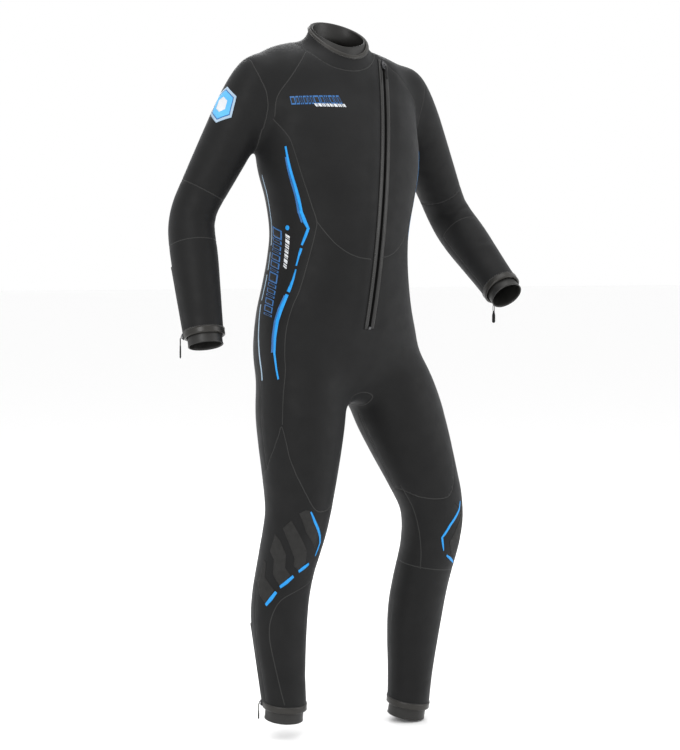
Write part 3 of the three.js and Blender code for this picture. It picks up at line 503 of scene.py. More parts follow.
def press(points, normals, line, depth, width, taper=True):
    """Moves points along their normals near a line. Depth in mm: up is a ridge, down a fold."""
    close = in_reach(points, line, width * 3 / 1000)
    if not len(close):
        return points
    away = np.linalg.norm(points[close][:, None] - line[None], axis=2)
    nearest, away = away.argmin(1), away.min(1) * 1000 / width
    share = np.sin(np.pi * (nearest + 0.5) / len(line)) if taper else 1.0
    profile = np.exp(-away ** 2) - 0.45 * np.exp(-(away / 1.9) ** 2)
    points = points.copy()
    points[close] += normals[close] * (profile * share * depth / 1000)[:, None]
    return points


def limb_fold(name, stops, depth, width):
    return [limb_spot(LIMBS[name], place, degrees) for place, degrees in stops], depth, width


def torso_fold(stops, depth, width):
    return [torso_spot(height, degrees) for height, degrees in stops], depth, width


FOLDS = [
    limb_fold("arm_right", [(0.93, -60), (0.97, -20), (0.98, 20), (0.95, 60)], -3.2, 9),
    limb_fold("arm_right", [(1.05, -70), (1.04, -20), (1.06, 30)], -2.4, 8),
    limb_fold("arm_right", [(0.82, -50), (0.86, -10), (0.84, 35)], -1.6, 9),
    limb_fold("arm_right", [(1.55, 120), (1.62, 80), (1.6, 30)], -1.2, 9),
    limb_fold("arm_right", [(0.3, -40), (0.36, 0), (0.34, 40)], -1.3, 12),
    limb_fold("arm_left", [(0.95, -70), (0.98, -20), (0.97, 25), (0.94, 60)], -3.6, 9),
    limb_fold("arm_left", [(1.06, -60), (1.05, -10), (1.07, 40)], -2.6, 8),
    limb_fold("arm_left", [(0.5, -75), (0.56, -30), (0.54, 10)], -1.8, 11),
    limb_fold("arm_left", [(0.3, -80), (0.36, -40), (0.35, 0)], -1.7, 12),
    limb_fold("arm_left", [(0.74, -70), (0.79, -20), (0.76, 20)], -1.7, 10),
    limb_fold("arm_left", [(1.5, -60), (1.56, -10), (1.52, 40)], -1.3, 9),
    limb_fold("leg_right", [(1.0, 130), (1.03, 180), (1.0, 230)], -3.2, 10),
    limb_fold("leg_right", [(0.92, 140), (0.94, 185), (0.9, 225)], -2.4, 10),
    limb_fold("leg_right", [(1.1, 140), (1.12, 180), (1.09, 220)], -2.0, 10),
    limb_fold("leg_left", [(1.0, 130), (1.04, 180), (1.0, 230)], -3.4, 10),
    limb_fold("leg_left", [(0.91, 140), (0.95, 185), (0.91, 225)], -2.6, 10),
    limb_fold("leg_left", [(1.1, 140), (1.13, 180), (1.1, 220)], -2.0, 10),
    limb_fold("leg_right", [(1.8, 30), (1.83, -20), (1.8, -70)], -1.2, 9),
    limb_fold("leg_left", [(1.82, 40), (1.85, -10), (1.81, -60)], -1.2, 9),
    torso_fold([(748, -52), (722, -34), (704, -16)], -2.2, 13),
    torso_fold([(746, 52), (720, 36), (702, 20)], -2.2, 13),
    torso_fold([(1226, -70), (1206, -54), (1192, -38)], -1.6, 13),
    torso_fold([(1226, 70), (1206, 55), (1196, 42)], -1.6, 13),
    torso_fold([(1190, 120), (1170, 140), (1162, 160)], -2.0, 14),
    torso_fold([(1190, -120), (1170, -140), (1162, -160)], -2.0, 14),
    torso_fold([(1010, 150), (1000, 180), (1006, 212)], -2.4, 16),
    torso_fold([(1046, 156), (1038, 182), (1044, 206)], -1.8, 14),
    torso_fold([(700, 150), (684, 166), (676, 178)], -2.0, 13),
    torso_fold([(700, 210), (684, 196), (676, 184)], -2.0, 13),
]
for stops, depth, width in FOLDS:
    skin = press(skin, normals, curve_through(stops, 5), depth, width)
normals = point_normals(skin, skin_faces)
print("creases:", len(FOLDS))

# %% [markdown]
# Seams. The panels of a wetsuit are glued edge to edge and then blind stitched, so a seam is a
# narrow line that sits a little proud in a shallow valley. The valley is pressed into the skin
# first. The seam itself comes later as a thin ribbon on top.

# %% Seam lines
BINDING, HEM = 0.06, 11.0
# angle round the neck, share of the neck at the collar seam and at the collar's top edge
COLLAR = [(-180, 0.2, 0.94), (-130, 0.18, 0.94), (-100, 0.3, 0.94), (-75, 0.31, 0.9),
          (-50, 0.3, 0.82), (-28, 0.28, 0.75), (0, 0.28, 0.7), (24, 0.34, 0.76), (50, 0.42, 0.87),
          (75, 0.44, 0.93), (100, 0.4, 0.94), (130, 0.3, 0.94), (180, 0.2, 0.94)]
KNEE_TOP = [(-45, 0.8), (-9, 0.84), (8, 0.82), (24, 0.745), (42, 0.625), (50, 0.53), (55, 0.43),
            (59, 0.355), (66, 0.42), (74, 0.49), (92, 0.595), (115, 0.64), (145, 0.69), (180, 0.75),
            (225, 0.74), (270, 0.7), (315, 0.8), (351, 0.84), (368, 0.82), (384, 0.745)]
ARMHOLE = [(-90, 0.3), (-45, 0.2), (0, 0.07), (45, -0.04), (90, -0.09), (135, 0.02), (180, 0.16),
           (225, 0.25), (270, 0.3), (315, 0.2), (360, 0.07)]
SIDE_FRONT = [(1236, 76), (1207, 62), (1184, 57), (1110, 53), (1064, 50.5), (1033, 47.5),
              (1010, 49), (951, 53.5), (896, 56.8), (860, 60.7), (816, 63.4), (766, 62.7),
              (735, 61)]
SIDE_BACK = [(1236, 114), (1140, 122), (1034, 128), (900, 126), (810, 116), (740, 106)]
UNDER_CHEST = [(-48, 1034), (-41, 1013), (-31, 989), (-20, 971), (-10, 961), (-1, 957)]
UNDER_CHEST_LEFT = [(2, 957), (16, 966), (28, 984), (38, 1006), (48, 1034)]


def outside_torso(point, margin):
    row = at(TORSO, point[2])
    if point[2] > TORSO[0][0]:
        return True
    ahead = row[2] - point[1]
    depth = (row[4] if ahead > 0 else row[5]) + margin
    return (abs(point[0] - row[1]) / (row[3] + margin)) ** BELLY + (abs(ahead) / depth) ** BELLY > 1


def armhole(limb, degrees):
    place = at(ARMHOLE, (degrees + 450) % 360 - 90)[1]
    while not outside_torso(limb_spot(limb, place, degrees), 4) and place < 0.6:
        place += 0.01
    return limb_spot(limb, place, degrees)


def collar_at(degrees):
    """The collar table's row at any angle: angle, seam share, top share."""
    return at(COLLAR, (degrees + 180) % 360 - 180)


def collar_foot_spot(degrees):
    return neck_spot(collar_at(degrees)[1], degrees)


seam_lines = {"trunk": []}
for side, where in ((-1, "right"), (1, "left")):
    arm, leg = LIMBS["arm_" + where], LIMBS["leg_" + where]
    seam_lines["trunk"] += [
        [armhole(arm, a) for a in range(0, 360, 24)],
        [torso_spot(h, a * side) for h, a in SIDE_FRONT]
        + [limb_spot(leg, 0.16, 58), limb_spot(leg, 0.25, 58.2), limb_spot(leg, 0.345, 58.8)],
        [torso_spot(h, a * side) for h, a in SIDE_BACK]
        + [limb_spot(leg, 0.12, 99), limb_spot(leg, 0.36, 95), limb_spot(leg, 0.59, 92)],
        [limb_spot(leg, p, -92) for p in np.linspace(0.2, at(KNEE_TOP, 268)[1], 5)],
        [collar_foot_spot(78 * side), torso_spot(1322, 46 * side), torso_spot(1281, 66 * side),
         torso_spot(1240, 74 * side)],
        [collar_foot_spot(138 * side), torso_spot(1360, 140 * side), torso_spot(1300, 112 * side)],
    ]
    seam_lines["arm_" + where] = [
        [limb_spot(arm, place_from(arm, 1, -60), a) for a in range(0, 360, 24)],
        [limb_spot(arm, place_from(arm, 1, 60), a) for a in range(0, 360, 24)],
        [limb_spot(arm, p, 262) for p in np.linspace(place_from(arm, 1, 62), 1.94, 5)],
    ]
    seam_lines["leg_" + where] = [
        [limb_spot(leg, at(KNEE_TOP, a)[1], a) for a in range(0, 360, 5)],
        [limb_spot(leg, place_from(leg, 1, 92), a) for a in range(0, 360, 24)],
        [limb_spot(leg, p, -104) for p in np.linspace(place_from(leg, 1, 94), 1.96, 6)],
    ]
seam_lines["trunk"] += [
    [torso_spot(h, a) for a, h in UNDER_CHEST],
    [torso_spot(h, a) for a, h in UNDER_CHEST_LEFT],
    [torso_spot(1030, a) for a in range(128, 233, 13)],
    [collar_foot_spot(a) for a in range(-180, 180, 12)],
]
right_leg = LIMBS["leg_right"]
seam_lines["leg_right"][1] = (
    [limb_spot(right_leg, place_from(right_leg, 1, 92), a) for a in range(329, 100, -19)]
    + [limb_spot(right_leg, p, a) for p, a in ((1.27, 98), (1.45, 93), (1.7, 91), (1.95, 90))])
seam_lines["leg_right"].append([
    limb_spot(right_leg, p, a) for p, a in
    ((1.24, -31), (1.29, 8), (1.33, 30), (1.39, 43), (1.48, 52), (1.575, 53), (1.7, 47), (1.86, 39),
     (1.95, 32))])
seam_lines["leg_left"].append([
    limb_spot(LIMBS["leg_left"], p, a) for p, a in
    ((0.685, -77), (0.84, -73), (1.0, -65), (1.135, -54), (1.24, -45))])
CLOSED = {"trunk": (0, 6, len(seam_lines["trunk"]) - 1), "arm_right": (0, 1), "arm_left": (0, 1),
          "leg_right": (0,), "leg_left": (0, 1)}
seam_curves = {owner: [curve_through(line, 3, closed=i in CLOSED[owner])
                       for i, line in enumerate(lines)] for owner, lines in seam_lines.items()}
GUSSET_CENTRE, GUSSET_SIZE = spot(14, 2, 674), spot(46, 74, 60)
print("seams:", {owner: len(lines) for owner, lines in seam_curves.items()})

# %% Press the valleys and make the draping helper
skin_tree = surface(skin, skin_faces)


def drape(points, lift=0.0):
    """Puts points on the skin, raised by lift in metres, and returns them with their normals."""
    placed, facing = [], []
    for point in points:
        found, _, index, _ = skin_tree.find_nearest(Vector(point))
        normal = normals[list(skin_faces[index])].mean(0)
        normal = normal / np.linalg.norm(normal)
        placed.append(np.array(found) + normal * lift)
        facing.append(normal)
    return np.array(placed), np.array(facing)


draped = {owner: [drape(line)[0] for line in lines] for owner, lines in seam_curves.items()}
for lines in draped.values():
    for line in lines:
        skin = press(skin, normals, line, -0.9, 4.5, taper=False)
normals = point_normals(skin, skin_faces)
skin_tree = surface(skin, skin_faces)
print("valleys pressed")

# %% [markdown]
# The skin is now divided at the seam above each elbow, at the seam above each knee and at the foot
# of the collar. A sleeve and a leg each become one piece of their own. The division follows the
# seam exactly, by cutting every face that the seam crosses.

# %% Divide the skin


def limb_places(points, limb, start=0.25):
    """Place and angle of each point on a limb; points away from the limb get place -1."""
    samples = np.arange(start, 2.08, 0.004)
    frames = [limb_frame(limb, p) for p in samples]
    centre = metres([f[0] for f in frames])
    close = in_reach(points, centre, 0.11)
    nearest = np.concatenate([np.linalg.norm(part[:, None] - centre[None], axis=2).argmin(1)
                              for part in np.array_split(points[close], 30)])
    side, front, down = (np.array([f[k] for f in frames])[nearest] for k in (1, 2, 3))
    size = np.array([f[4] for f in frames])[nearest]
    offset = (points[close] - centre[nearest]) * 1000
    x = np.sum(offset * side, 1) / size[:, 0]
    y = np.sum(offset * front, 1)
    y = y / np.where(y > 0, size[:, 1], size[:, 2])
    bones = limb["joints"]
    bone = np.where(samples[nearest] < 1, np.linalg.norm(bones[1] - bones[0]),
                    np.linalg.norm(bones[2] - bones[1]))
    place = np.full(len(points), -1.0)
    place[close] = np.where(np.hypot(x, y) < 1.28,
                            samples[nearest] + np.sum(offset * down, 1) / bone, -1)
    angle = np.zeros(len(points))
    angle[close] = np.degrees(np.arctan2(x * limb["side"], y))
    return place, angle


def divide(points, faces, value):
    """Cuts faces where a value changes sign. Returns the points and the faces of both sides."""
    points, value = list(points), list(value)
    value = [v if abs(v) > 1e-6 else 1e-6 for v in value]
    cuts, plus, minus = {}, [], []

    def crossing(i, j):
        key = (min(i, j), max(i, j))
        if key not in cuts:
            t = value[i] / (value[i] - value[j])
            points.append(points[i] * (1 - t) + points[j] * t)
            cuts[key] = len(points) - 1
        return cuts[key]

    for face in faces:
        signs = [value[i] > 0 for i in face]
        if all(signs):
            plus.append(face)
        elif not any(signs):
            minus.append(face)
        else:
            halves = {True: [], False: []}
            for k, i in enumerate(face):
                j = face[(k + 1) % len(face)]
                halves[value[i] > 0].append(i)
                if (value[i] > 0) != (value[j] > 0):
                    middle = crossing(i, j)
                    halves[True].append(middle)
                    halves[False].append(middle)
            plus.append(tuple(halves[True]))
            minus.append(tuple(halves[False]))
    return np.array(points), plus, minus


def compact(points, faces):
    used = np.unique(np.concatenate([np.array(f) for f in faces]))
    new = np.full(len(points), -1)
    new[used] = np.arange(len(used))
    return points[used], [tuple(int(new[i]) for i in f) for f in faces]


parts, rest = {}, skin_faces
points = skin
for name, limb in LIMBS.items():
    place, angle = limb_places(points, limb)
    end = place_from(limb, 2, -HEM + 3)
    if name.startswith("arm"):
        edge = np.full(len(points), place_from(limb, 1, -60))
    else:
        turns = range(0, 361, 3)
        edge = np.interp(angle % 360, turns, [at(KNEE_TOP, a)[1] for a in turns])
    value = np.where(place < 0, -0.2, place - edge)
    points, part, rest = divide(points, rest, value)
    place, angle = limb_places(points, limb)
    points, _, part = divide(points, part, place - end)
    parts[name] = compact(points, part)


def neck_polar(points):
    """Angle round the neck in degrees, and height along it in mm."""
    offset = (points - metres(at(NECK, 0.5)[1:4])) * 1000
    ahead = offset @ NECK_FRONT
    return np.degrees(np.arctan2(offset[:, 0], ahead)), offset @ NECK_RISE


def above_ring(points, ring):
    """How far points stand above a ring round the neck, in mm."""
    ring_turns, ring_heights = neck_polar(ring)
    turns, heights = neck_polar(points)
    heights = heights - np.interp(turns, *zip(*sorted(zip(ring_turns, ring_heights))), period=360)
    return np.where(np.linalg.norm(points - metres(at(NECK, 0.5)[1:4]), axis=1) < 0.17, heights, -1)


COLLAR_TURNS = np.arange(-180, 180, 2.5)
foot_ring = drape(metres([collar_foot_spot(a) for a in COLLAR_TURNS]))[0]
top_ring = metres([neck_spot(collar_at(a)[2] - 0.02, a) for a in COLLAR_TURNS])
points, part, rest = divide(points, rest, above_ring(points, foot_ring))
parts["trunk"] = compact(points, rest)
points, _, part = divide(points, part, above_ring(points, top_ring))
parts["collar"] = compact(points, part)
print("skin parts:", {name: len(part[1]) for name, part in parts.items()})

# %% [markdown]
# Finishes. Every material is built from nodes, with its pattern in object space so that it needs
# no unwrapping. The outer face is a knitted nylon jersey: nearly black, dull, with a fine knit in
# the bump and a faint sheen. Smooth skin, used for seals and bindings, is bare closed rubber and
# shines softly.

# %% A helper for materials


class Nodes:
    """Builds a material's node tree step by step."""

    def __init__(self, name):
        self.material = bpy.data.materials.new(name)
        self.material.use_nodes = True
        self.tree = self.material.node_tree
        self.shader = self.tree.nodes["Principled BSDF"]
        self.place = self.add("ShaderNodeTexCoord").outputs["Object"]

    def add(self, kind, **values):
        node = self.tree.nodes.new(kind)
        for key, value in values.items():
            if hasattr(node, key):
                setattr(node, key, value)
            else:
                node.inputs[key.replace("_", " ")].default_value = value
        return node

    def link(self, out, into):
        self.tree.links.new(out, into)

    def noise(self, scale, detail=2.0):
        node = self.add("ShaderNodeTexNoise", Scale=scale, Detail=detail)
        self.link(self.place, node.inputs["Vector"])
        return node.outputs["Fac"]

    def scaled(self, source, low, high, start=0.3, end=0.7):
        node = self.add("ShaderNodeMapRange", From_Min=start, From_Max=end, To_Min=low, To_Max=high)
        self.link(source, node.inputs["Value"])
        return node.outputs["Result"]

    def mix(self, source, first, second):
        node = self.add("ShaderNodeMix", data_type="RGBA")
        node.inputs[6].default_value = (*first, 1)
        node.inputs[7].default_value = (*second, 1)
        self.link(source, node.inputs[0])
        return node.outputs[2]

    def bump(self, source, strength, distance, under=None):
        node = self.add("ShaderNodeBump", Strength=strength, Distance=distance)
        self.link(source, node.inputs["Height"])
        if under is not None:
            self.link(under, node.inputs["Normal"])
        return node.outputs["Normal"]

    def finish(self, colour=None, rough=None, normal=None, **fixed):
        for source, name in ((colour, "Base Color"), (rough, "Roughness"), (normal, "Normal")):
            if source is not None:
                self.link(source, self.shader.inputs[name])
        for key, value in fixed.items():
            self.shader.inputs[key.replace("_", " ")].default_value = value
        return self.material


def knit(nodes, pitch):
    """A fine knit: two sets of thin ribs that cross, as in jersey seen close."""
    rows = nodes.add("ShaderNodeTexWave", wave_type="BANDS", bands_direction="Z",
                     Scale=1 / pitch / 3, Distortion=1.2)
    wales = nodes.add("ShaderNodeTexWave", wave_type="BANDS", bands_direction="DIAGONAL",
                      Scale=1 / pitch / 3, Distortion=1.0)
    for wave in (rows, wales):
        nodes.link(nodes.place, wave.inputs["Vector"])
    both = nodes.add("ShaderNodeMath", operation="MULTIPLY")
    nodes.link(rows.outputs["Fac"], both.inputs[0])
    nodes.link(wales.outputs["Fac"], both.inputs[1])
    return both.outputs[0]


def fabric(name, dark, light, roughness, pitch=0.0011):
    nodes = Nodes(name)
    cloud = nodes.noise(9, 4)
    colour = nodes.mix(nodes.scaled(cloud, 0, 1), dark, light)
    rough = nodes.scaled(nodes.noise(35, 3), roughness - 0.06, roughness + 0.05)
    normal = nodes.bump(knit(nodes, pitch), 0.16, 0.0003)
    normal = nodes.bump(cloud, 0.12, 0.004, under=normal)
    return nodes.finish(colour, rough, normal, Sheen_Weight=0.1, Sheen_Roughness=0.45,
                        Sheen_Tint=(0.5, 0.52, 0.55, 1), Specular_IOR_Level=0.17)


# %% The finishes of the suit
JERSEY = fabric("jersey", (0.0042, 0.0042, 0.0043), (0.0062, 0.0062, 0.0063), 0.6)
LINING = fabric("lining", (0.015, 0.015, 0.016), (0.022, 0.022, 0.023), 0.85, pitch=0.0016)
SEAM_TAPE = fabric("seam_tape", (0.02, 0.02, 0.0195), (0.03, 0.03, 0.029), 0.6, pitch=0.0008)


def rubber(name, dark, light, roughness, coat=0.0, shine=0.28):
    nodes = Nodes(name)
    grain = nodes.noise(900, 2)
    colour = nodes.mix(nodes.scaled(nodes.noise(22, 4), 0, 1), dark, light)
    rough = nodes.scaled(nodes.noise(60, 3), roughness - 0.05, roughness + 0.07)
    normal = nodes.bump(grain, 0.1, 0.0002)
    return nodes.finish(colour, rough, normal, Coat_Weight=coat, Coat_Roughness=0.3,
                        Specular_IOR_Level=shine)


SMOOTH_SKIN = rubber("smooth_skin", (0.012, 0.0116, 0.0108), (0.018, 0.0175, 0.0165), 0.45, 0.04)
BOUND_EDGE = rubber("bound_edge", (0.013, 0.012, 0.0102), (0.021, 0.0195, 0.0168), 0.36, 0.1)
ZIP_BAND = rubber("zip_band", (0.0065, 0.0064, 0.006), (0.0105, 0.0103, 0.0098), 0.36, 0.06)
GRIP_RUBBER = rubber("grip_rubber", (0.003, 0.003, 0.0035), (0.006, 0.006, 0.0065), 0.45,
                     shine=0.15)
# Near-black and almost without shine: painted shade for the dark gap between the zip tapes, over
# the chain's own dark colour.
COIL_AND_GAP_SHADE = rubber("coil_and_gap_shade", (0.0005, 0.0005, 0.0005), (0.001, 0.001, 0.001), 0.6, shine=0.03)


def slider_metal():
    nodes = Nodes("slider_metal")
    colour = nodes.mix(nodes.scaled(nodes.noise(120, 3), 0, 1), (0.05, 0.05, 0.053),
                       (0.09, 0.09, 0.095))
    rough = nodes.scaled(nodes.noise(240, 3), 0.28, 0.45)
    normal = nodes.bump(nodes.noise(600, 2), 0.06, 0.0002)
    return nodes.finish(colour, rough, normal, Metallic=0.7)


SLIDER_METAL = slider_metal()
THREAD = fabric("thread", (0.09, 0.088, 0.085), (0.13, 0.128, 0.124), 0.7, pitch=0.0006)


def ink(name, colour, deep, roughness=0.45):
    """Printed ink: a thin glossy film that still shows the knit below it."""
    nodes = Nodes(name)
    base = nodes.mix(nodes.scaled(nodes.noise(26, 3), 0, 1, 0.25, 0.75), deep, colour)
    rough = nodes.scaled(nodes.noise(90, 3), roughness - 0.05, roughness + 0.08)
    return nodes.finish(base, rough, nodes.bump(knit(nodes, 0.0011), 0.1, 0.0002),
                        Specular_IOR_Level=0.3)


BLUE = ink("blue_ink", (0.012, 0.28, 0.68), (0.009, 0.22, 0.58))
LIGHT_BLUE = ink("light_blue_ink", (0.11, 0.42, 0.72), (0.075, 0.34, 0.64))
DEEP_BLUE = ink("deep_blue_ink", (0.03, 0.13, 0.34), (0.022, 0.1, 0.27))
PAD = ink("pad_ink", (0.0155, 0.0151, 0.0144), (0.0105, 0.0103, 0.0099), 0.75)
WHITE = ink("white_ink", (0.62, 0.64, 0.66), (0.5, 0.52, 0.55))
MIST = ink("mist_ink", (0.36, 0.47, 0.58), (0.26, 0.36, 0.46))
BLACK = ink("black_ink", (0.009, 0.009, 0.0095), (0.006, 0.006, 0.0065), 0.55)
print("materials:", len(bpy.data.materials))

# %% [markdown]
# Each part of the skin now gets its thickness. The inner face is the outer one moved inwards by
# almost five millimetres, and a rim closes the two at every cut edge. The inner face wears the
# lighter lining, so the open neck looks into a real suit.

# %% Thickness, and the pieces of the skin
THICKNESS = 0.0046


def follow(obj, owner):
    """Lets a piece move with its body; a piece owned by a whole limb is only baked in place."""
    if owner not in LIMBS:
        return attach(obj, owner)
    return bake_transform(obj)


def finish_piece(obj, owner, materials):
    for material in materials:
        obj.data.materials.append(material)
    follow(obj, owner)
    return obj


def open_edges(faces):
    """Edges, in their direction, that have a face on one side only."""
    edges = {(i, face[(k + 1) % len(face)]): True for face in faces for k, i in enumerate(face)}
    return [(i, j) for i, j in edges if (j, i) not in edges]


def add_piece(name, shape, owner, materials):
    """Makes a piece from its points and faces, faces outwards, and finishes it."""
    return finish_piece(fix_normals(new_object(name, *shape)), owner, materials)


def thick_piece(name, points, faces, thickness):
    """A shell with an inner face and rims. Outer faces use material 0, the rest material 1."""
    facing = point_normals(points, [f if len(f) in (3, 4) else f[:4] for f in faces])
    count = len(points)
    both = np.vstack([points, points - facing * thickness])
    rim = [(j, i, i + count, j + count) for i, j in open_edges(faces)]
    inner = [tuple(i + count for i in reversed(face)) for face in faces]
    obj = new_object(name, both, list(faces) + inner + rim)
    index = [0] * len(faces) + [1] * (len(inner) + len(rim))
    obj.data.polygons.foreach_set("material_index", index)
    return obj


SKIN_NAMES = {"collar": "collar_band", "trunk": "trunk_skin",
              "arm_right": "sleeve_skin_right", "arm_left": "sleeve_skin_left",
              "leg_right": "leg_skin_right", "leg_left": "leg_skin_left"}
for owner, (part_points, part_faces) in parts.items():
    obj = thick_piece(SKIN_NAMES[owner], part_points, part_faces, THICKNESS)
    body = "trunk" if owner == "collar" else owner
    finish_piece(obj, body, [JERSEY, LINING])
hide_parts("collar")
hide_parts("chest_right", "chest_left", "front_lower", "side_panel_right",
            "side_panel_left", "back_upper", "back_lower", "crotch_gusset", "yoke_right",
            "yoke_left", "upper_sleeve_right", "upper_sleeve_left")
for side in ("right", "left"):
    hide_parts("elbow_panel_" + side, "lower_sleeve_" + side)
    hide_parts("knee_panel_" + side, "shin_panel_" + side,
                "calf_panel_" + side)

# %% [markdown]
# A seam is shown as a ribbon two millimetres wide with a rounded top. One helper sweeps any
# small section along a curve; the seams and the threads both come out of it.

# %% Ribbons and seams


def sweep(path, facing, section_points, closed=False):
    """Sweeps a closed section, given as (across, up) in metres, along a path."""
    path, facing = np.asarray(path), np.asarray(facing)
    if closed:
        tangent = np.roll(path, -1, 0) - np.roll(path, 1, 0)
    else:
        tangent = np.gradient(path, axis=0)
    tangent /= np.maximum(np.linalg.norm(tangent, axis=1, keepdims=True), 1e-9)
    across = np.cross(facing, tangent)
    across /= np.maximum(np.linalg.norm(across, axis=1, keepdims=True), 1e-9)
    up = np.cross(tangent, across)
    rings = [path + across * a + up * b for a, b in section_points]
    verts = np.stack(rings, 1).reshape(-1, 3)
    faces = ring_faces(len(path), len(section_points), closed)
    if not closed:
        faces += end_faces(len(path), len(section_points))
    return verts, faces


def rounded(width, height, base=0.0006):
    """A ribbon's section in metres: flat below, rounded above."""
    w = width / 2
    return [(-w, -base), (w, -base), (w, 0), (w * 0.72, height * 0.8), (0, height),
            (-w * 0.72, height * 0.8), (-w, 0)]


SEAM_SECTION, SEAM_LIFT, GUSSET_STOPS = rounded(0.002, 0.0004), 0.00005, 120

for owner, lines in seam_curves.items():
    ribbons = [sweep(*drape(line, SEAM_LIFT), SEAM_SECTION, closed=i in CLOSED[owner])
               for i, line in enumerate(lines)]
    if owner == "trunk":
        turns = np.radians(np.linspace(0, 360, GUSSET_STOPS, endpoint=False))
        ring = GUSSET_CENTRE + np.stack([np.sin(turns) * GUSSET_SIZE[0],
                                         -np.cos(turns) * GUSSET_SIZE[1],
                                         np.full(GUSSET_STOPS, 6.0)], 1)
        neighbours = np.array([(k, (k + 1) % GUSSET_STOPS) for k in range(GUSSET_STOPS)])
        path = smooth(drape(metres(ring), SEAM_LIFT)[0], neighbours, 0.5, 6)
        ribbons.append(sweep(*drape(path, SEAM_LIFT), SEAM_SECTION, closed=True))
    add_piece("seams_" + owner, gather(ribbons), owner, [SEAM_TAPE])
print("seam pieces:", len(seam_curves))

# %% [markdown]
# The collar is a band of the same jersey, already cut from the skin. Its top edge is wrapped in a
# shiny binding that is held by a zigzag stitch. Inside it stands the neck seal, a thin tube of
# smooth skin that does the sealing. The binding and the seal are tubes round the neck form, so one
# helper makes both, and it makes the cuffs as well.

# %% Tubes with rounded rims


def tube(outer_at, starts, ends, grow, wall, rings, sides=144):
    """A tube between two edges, its rims rounded by a crest in the middle of the wall.
    outer_at(share, degrees, grow, lip) gives a point in pattern mm; a lip lies along the tube."""
    turns = np.linspace(0, 360, sides, endpoint=False)
    starts, ends = np.broadcast_to(starts, sides), np.broadcast_to(ends, sides)
    heading = np.sign(ends - starts)
    crest = grow - wall * 0.4
    profile = [(0, crest)] + [(t, grow) for t in np.linspace(0, 1, rings)] + [(1, crest)]
    profile += [(t, grow - wall) for t in np.linspace(1, 0, rings)]
    verts = []
    for t, offset in profile:
        lip = (1 if t == 1 else -1) * 0.3 * wall if offset == crest else 0
        for k, degrees in enumerate(turns):
            share = starts[k] + (ends[k] - starts[k]) * t
            verts.append(outer_at(share, degrees, offset, lip * heading[k]))
    return metres(verts), ring_faces(len(profile), sides, closed=True)


def neck_at(share, degrees, grow, lip):
    return neck_spot(share, degrees, grow) + NECK_RISE * lip


TUBE_TURNS = np.linspace(0, 360, 144, endpoint=False)
collar_top = np.array([collar_at(a)[2] for a in TUBE_TURNS])
SEAL_GROW, SEAL_WALL = -5.7, 2.4
edge = tube(neck_at, collar_top - BINDING, collar_top, 1.3, 6.8, 5)
edge = add_piece("collar_edge", edge, "trunk", [BOUND_EDGE])
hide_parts("collar_binding")
seal_rim = 1 - 0.09 * np.maximum(np.cos(np.radians(TUBE_TURNS + 20)), 0) ** 4
seal = tube(neck_at, 0.3, seal_rim, SEAL_GROW, SEAL_WALL, 16)
seal = add_piece("neck_seal_skin", seal, "trunk", [SMOOTH_SKIN])
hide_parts("neck_seal")
print("collar top between", collar_top.min(), "and", collar_top.max())

# %% Zigzag stitches


def thread(path, facing, radius, closed=False):
    turns = np.linspace(0, 2 * math.pi, 6, endpoint=False)
    circle = [(math.cos(t) * radius, math.sin(t) * radius) for t in turns]
    return sweep(path, facing, circle, closed)


def facing_from(points, centre):
    away = points - centre
    return away / np.linalg.norm(away, axis=1, keepdims=True)


STITCHES = 150
zigzag = []
for k in range(STITCHES * 2):
    degrees = 360 * k / (STITCHES * 2)
    # every other point lies below the binding, on the jersey
    step, grow = (-0.035, 0.4) if k % 2 else (0.01, 1.5)
    zigzag.append(neck_spot(collar_at(degrees)[2] - BINDING + step, degrees, grow))
zigzag = metres(zigzag)
away = facing_from(zigzag, metres(at(NECK, 0.7)[1:4]))
add_piece("collar_stitches", thread(zigzag, away, 0.00035, closed=True), "trunk", [THREAD])
print("stitches round the collar:", STITCHES)

# %% [markdown]
# Cuffs. Each sleeve and leg ends in a shiny hem band, and a tube of smooth skin comes out of it.
# The seal flares a little at its rim because the rim is rolled. Both belong to the forearm or the
# shin, because they lie well past the joint.

# %% Hems and seals
CUFFS = {"arm": ("wrist", 19.0), "leg": ("ankle", 24.0)}
CUFF_SIDES, CUFF_STITCHES = 112, 56


def limb_at(limb):
    def point(share, degrees, grow, lip):
        _, _, _, down, _ = limb_frame(limb, share)
        return limb_spot(limb, share, degrees, grow) + down * lip
    return point


for name, limb in LIMBS.items():
    side = name[4:]
    cuff, stand = CUFFS[name[:3]]
    point = limb_at(limb)
    hem = tube(point, place_from(limb, 2, -HEM), 2.0, 0.9, 5.6, 6, CUFF_SIDES)
    hem = add_piece(f"{cuff}_band_{side}", hem, limb["child"], [BOUND_EDGE])
    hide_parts(f"{cuff}_hem_{side}")
    tucked, rim = place_from(limb, 2, -26), place_from(limb, 2, stand)

    def sealed(share, degrees, grow, lip, point=point, rim=rim):
        if share > 2:
            ripple = 0.1 * math.sin(math.radians(degrees) * 5 + share * 60)
            roll = 0.7 * max(0.0, 1 - abs(rim - share) / (rim - 2) * 6)
            grow += ripple + roll
        return point(share, degrees, grow, lip)
    seal = tube(sealed, tucked, rim, SEAL_GROW, SEAL_WALL, 16, CUFF_SIDES)
    seal = add_piece(f"{cuff}_seal_skin_{side}", seal, limb["child"], [SMOOTH_SKIN])
    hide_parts(f"{cuff}_seal_{side}")
    marks = []
    for k in range(CUFF_STITCHES):
        turn = k * 360 / CUFF_STITCHES
        for a, b, grow in ((turn, -HEM + 0.4, 1.15), (turn + 3.2, -HEM - 2.6, 0.5)):
            marks.append(limb_spot(limb, place_from(limb, 2, b), a, grow))
    marks = metres(marks)
    away = facing_from(marks, metres(limb_frame(limb, 2)[0]))
    add_piece(f"{cuff}_stitches_{side}", thread(marks, away, 0.00032, closed=True), limb["child"],
              [THREAD])
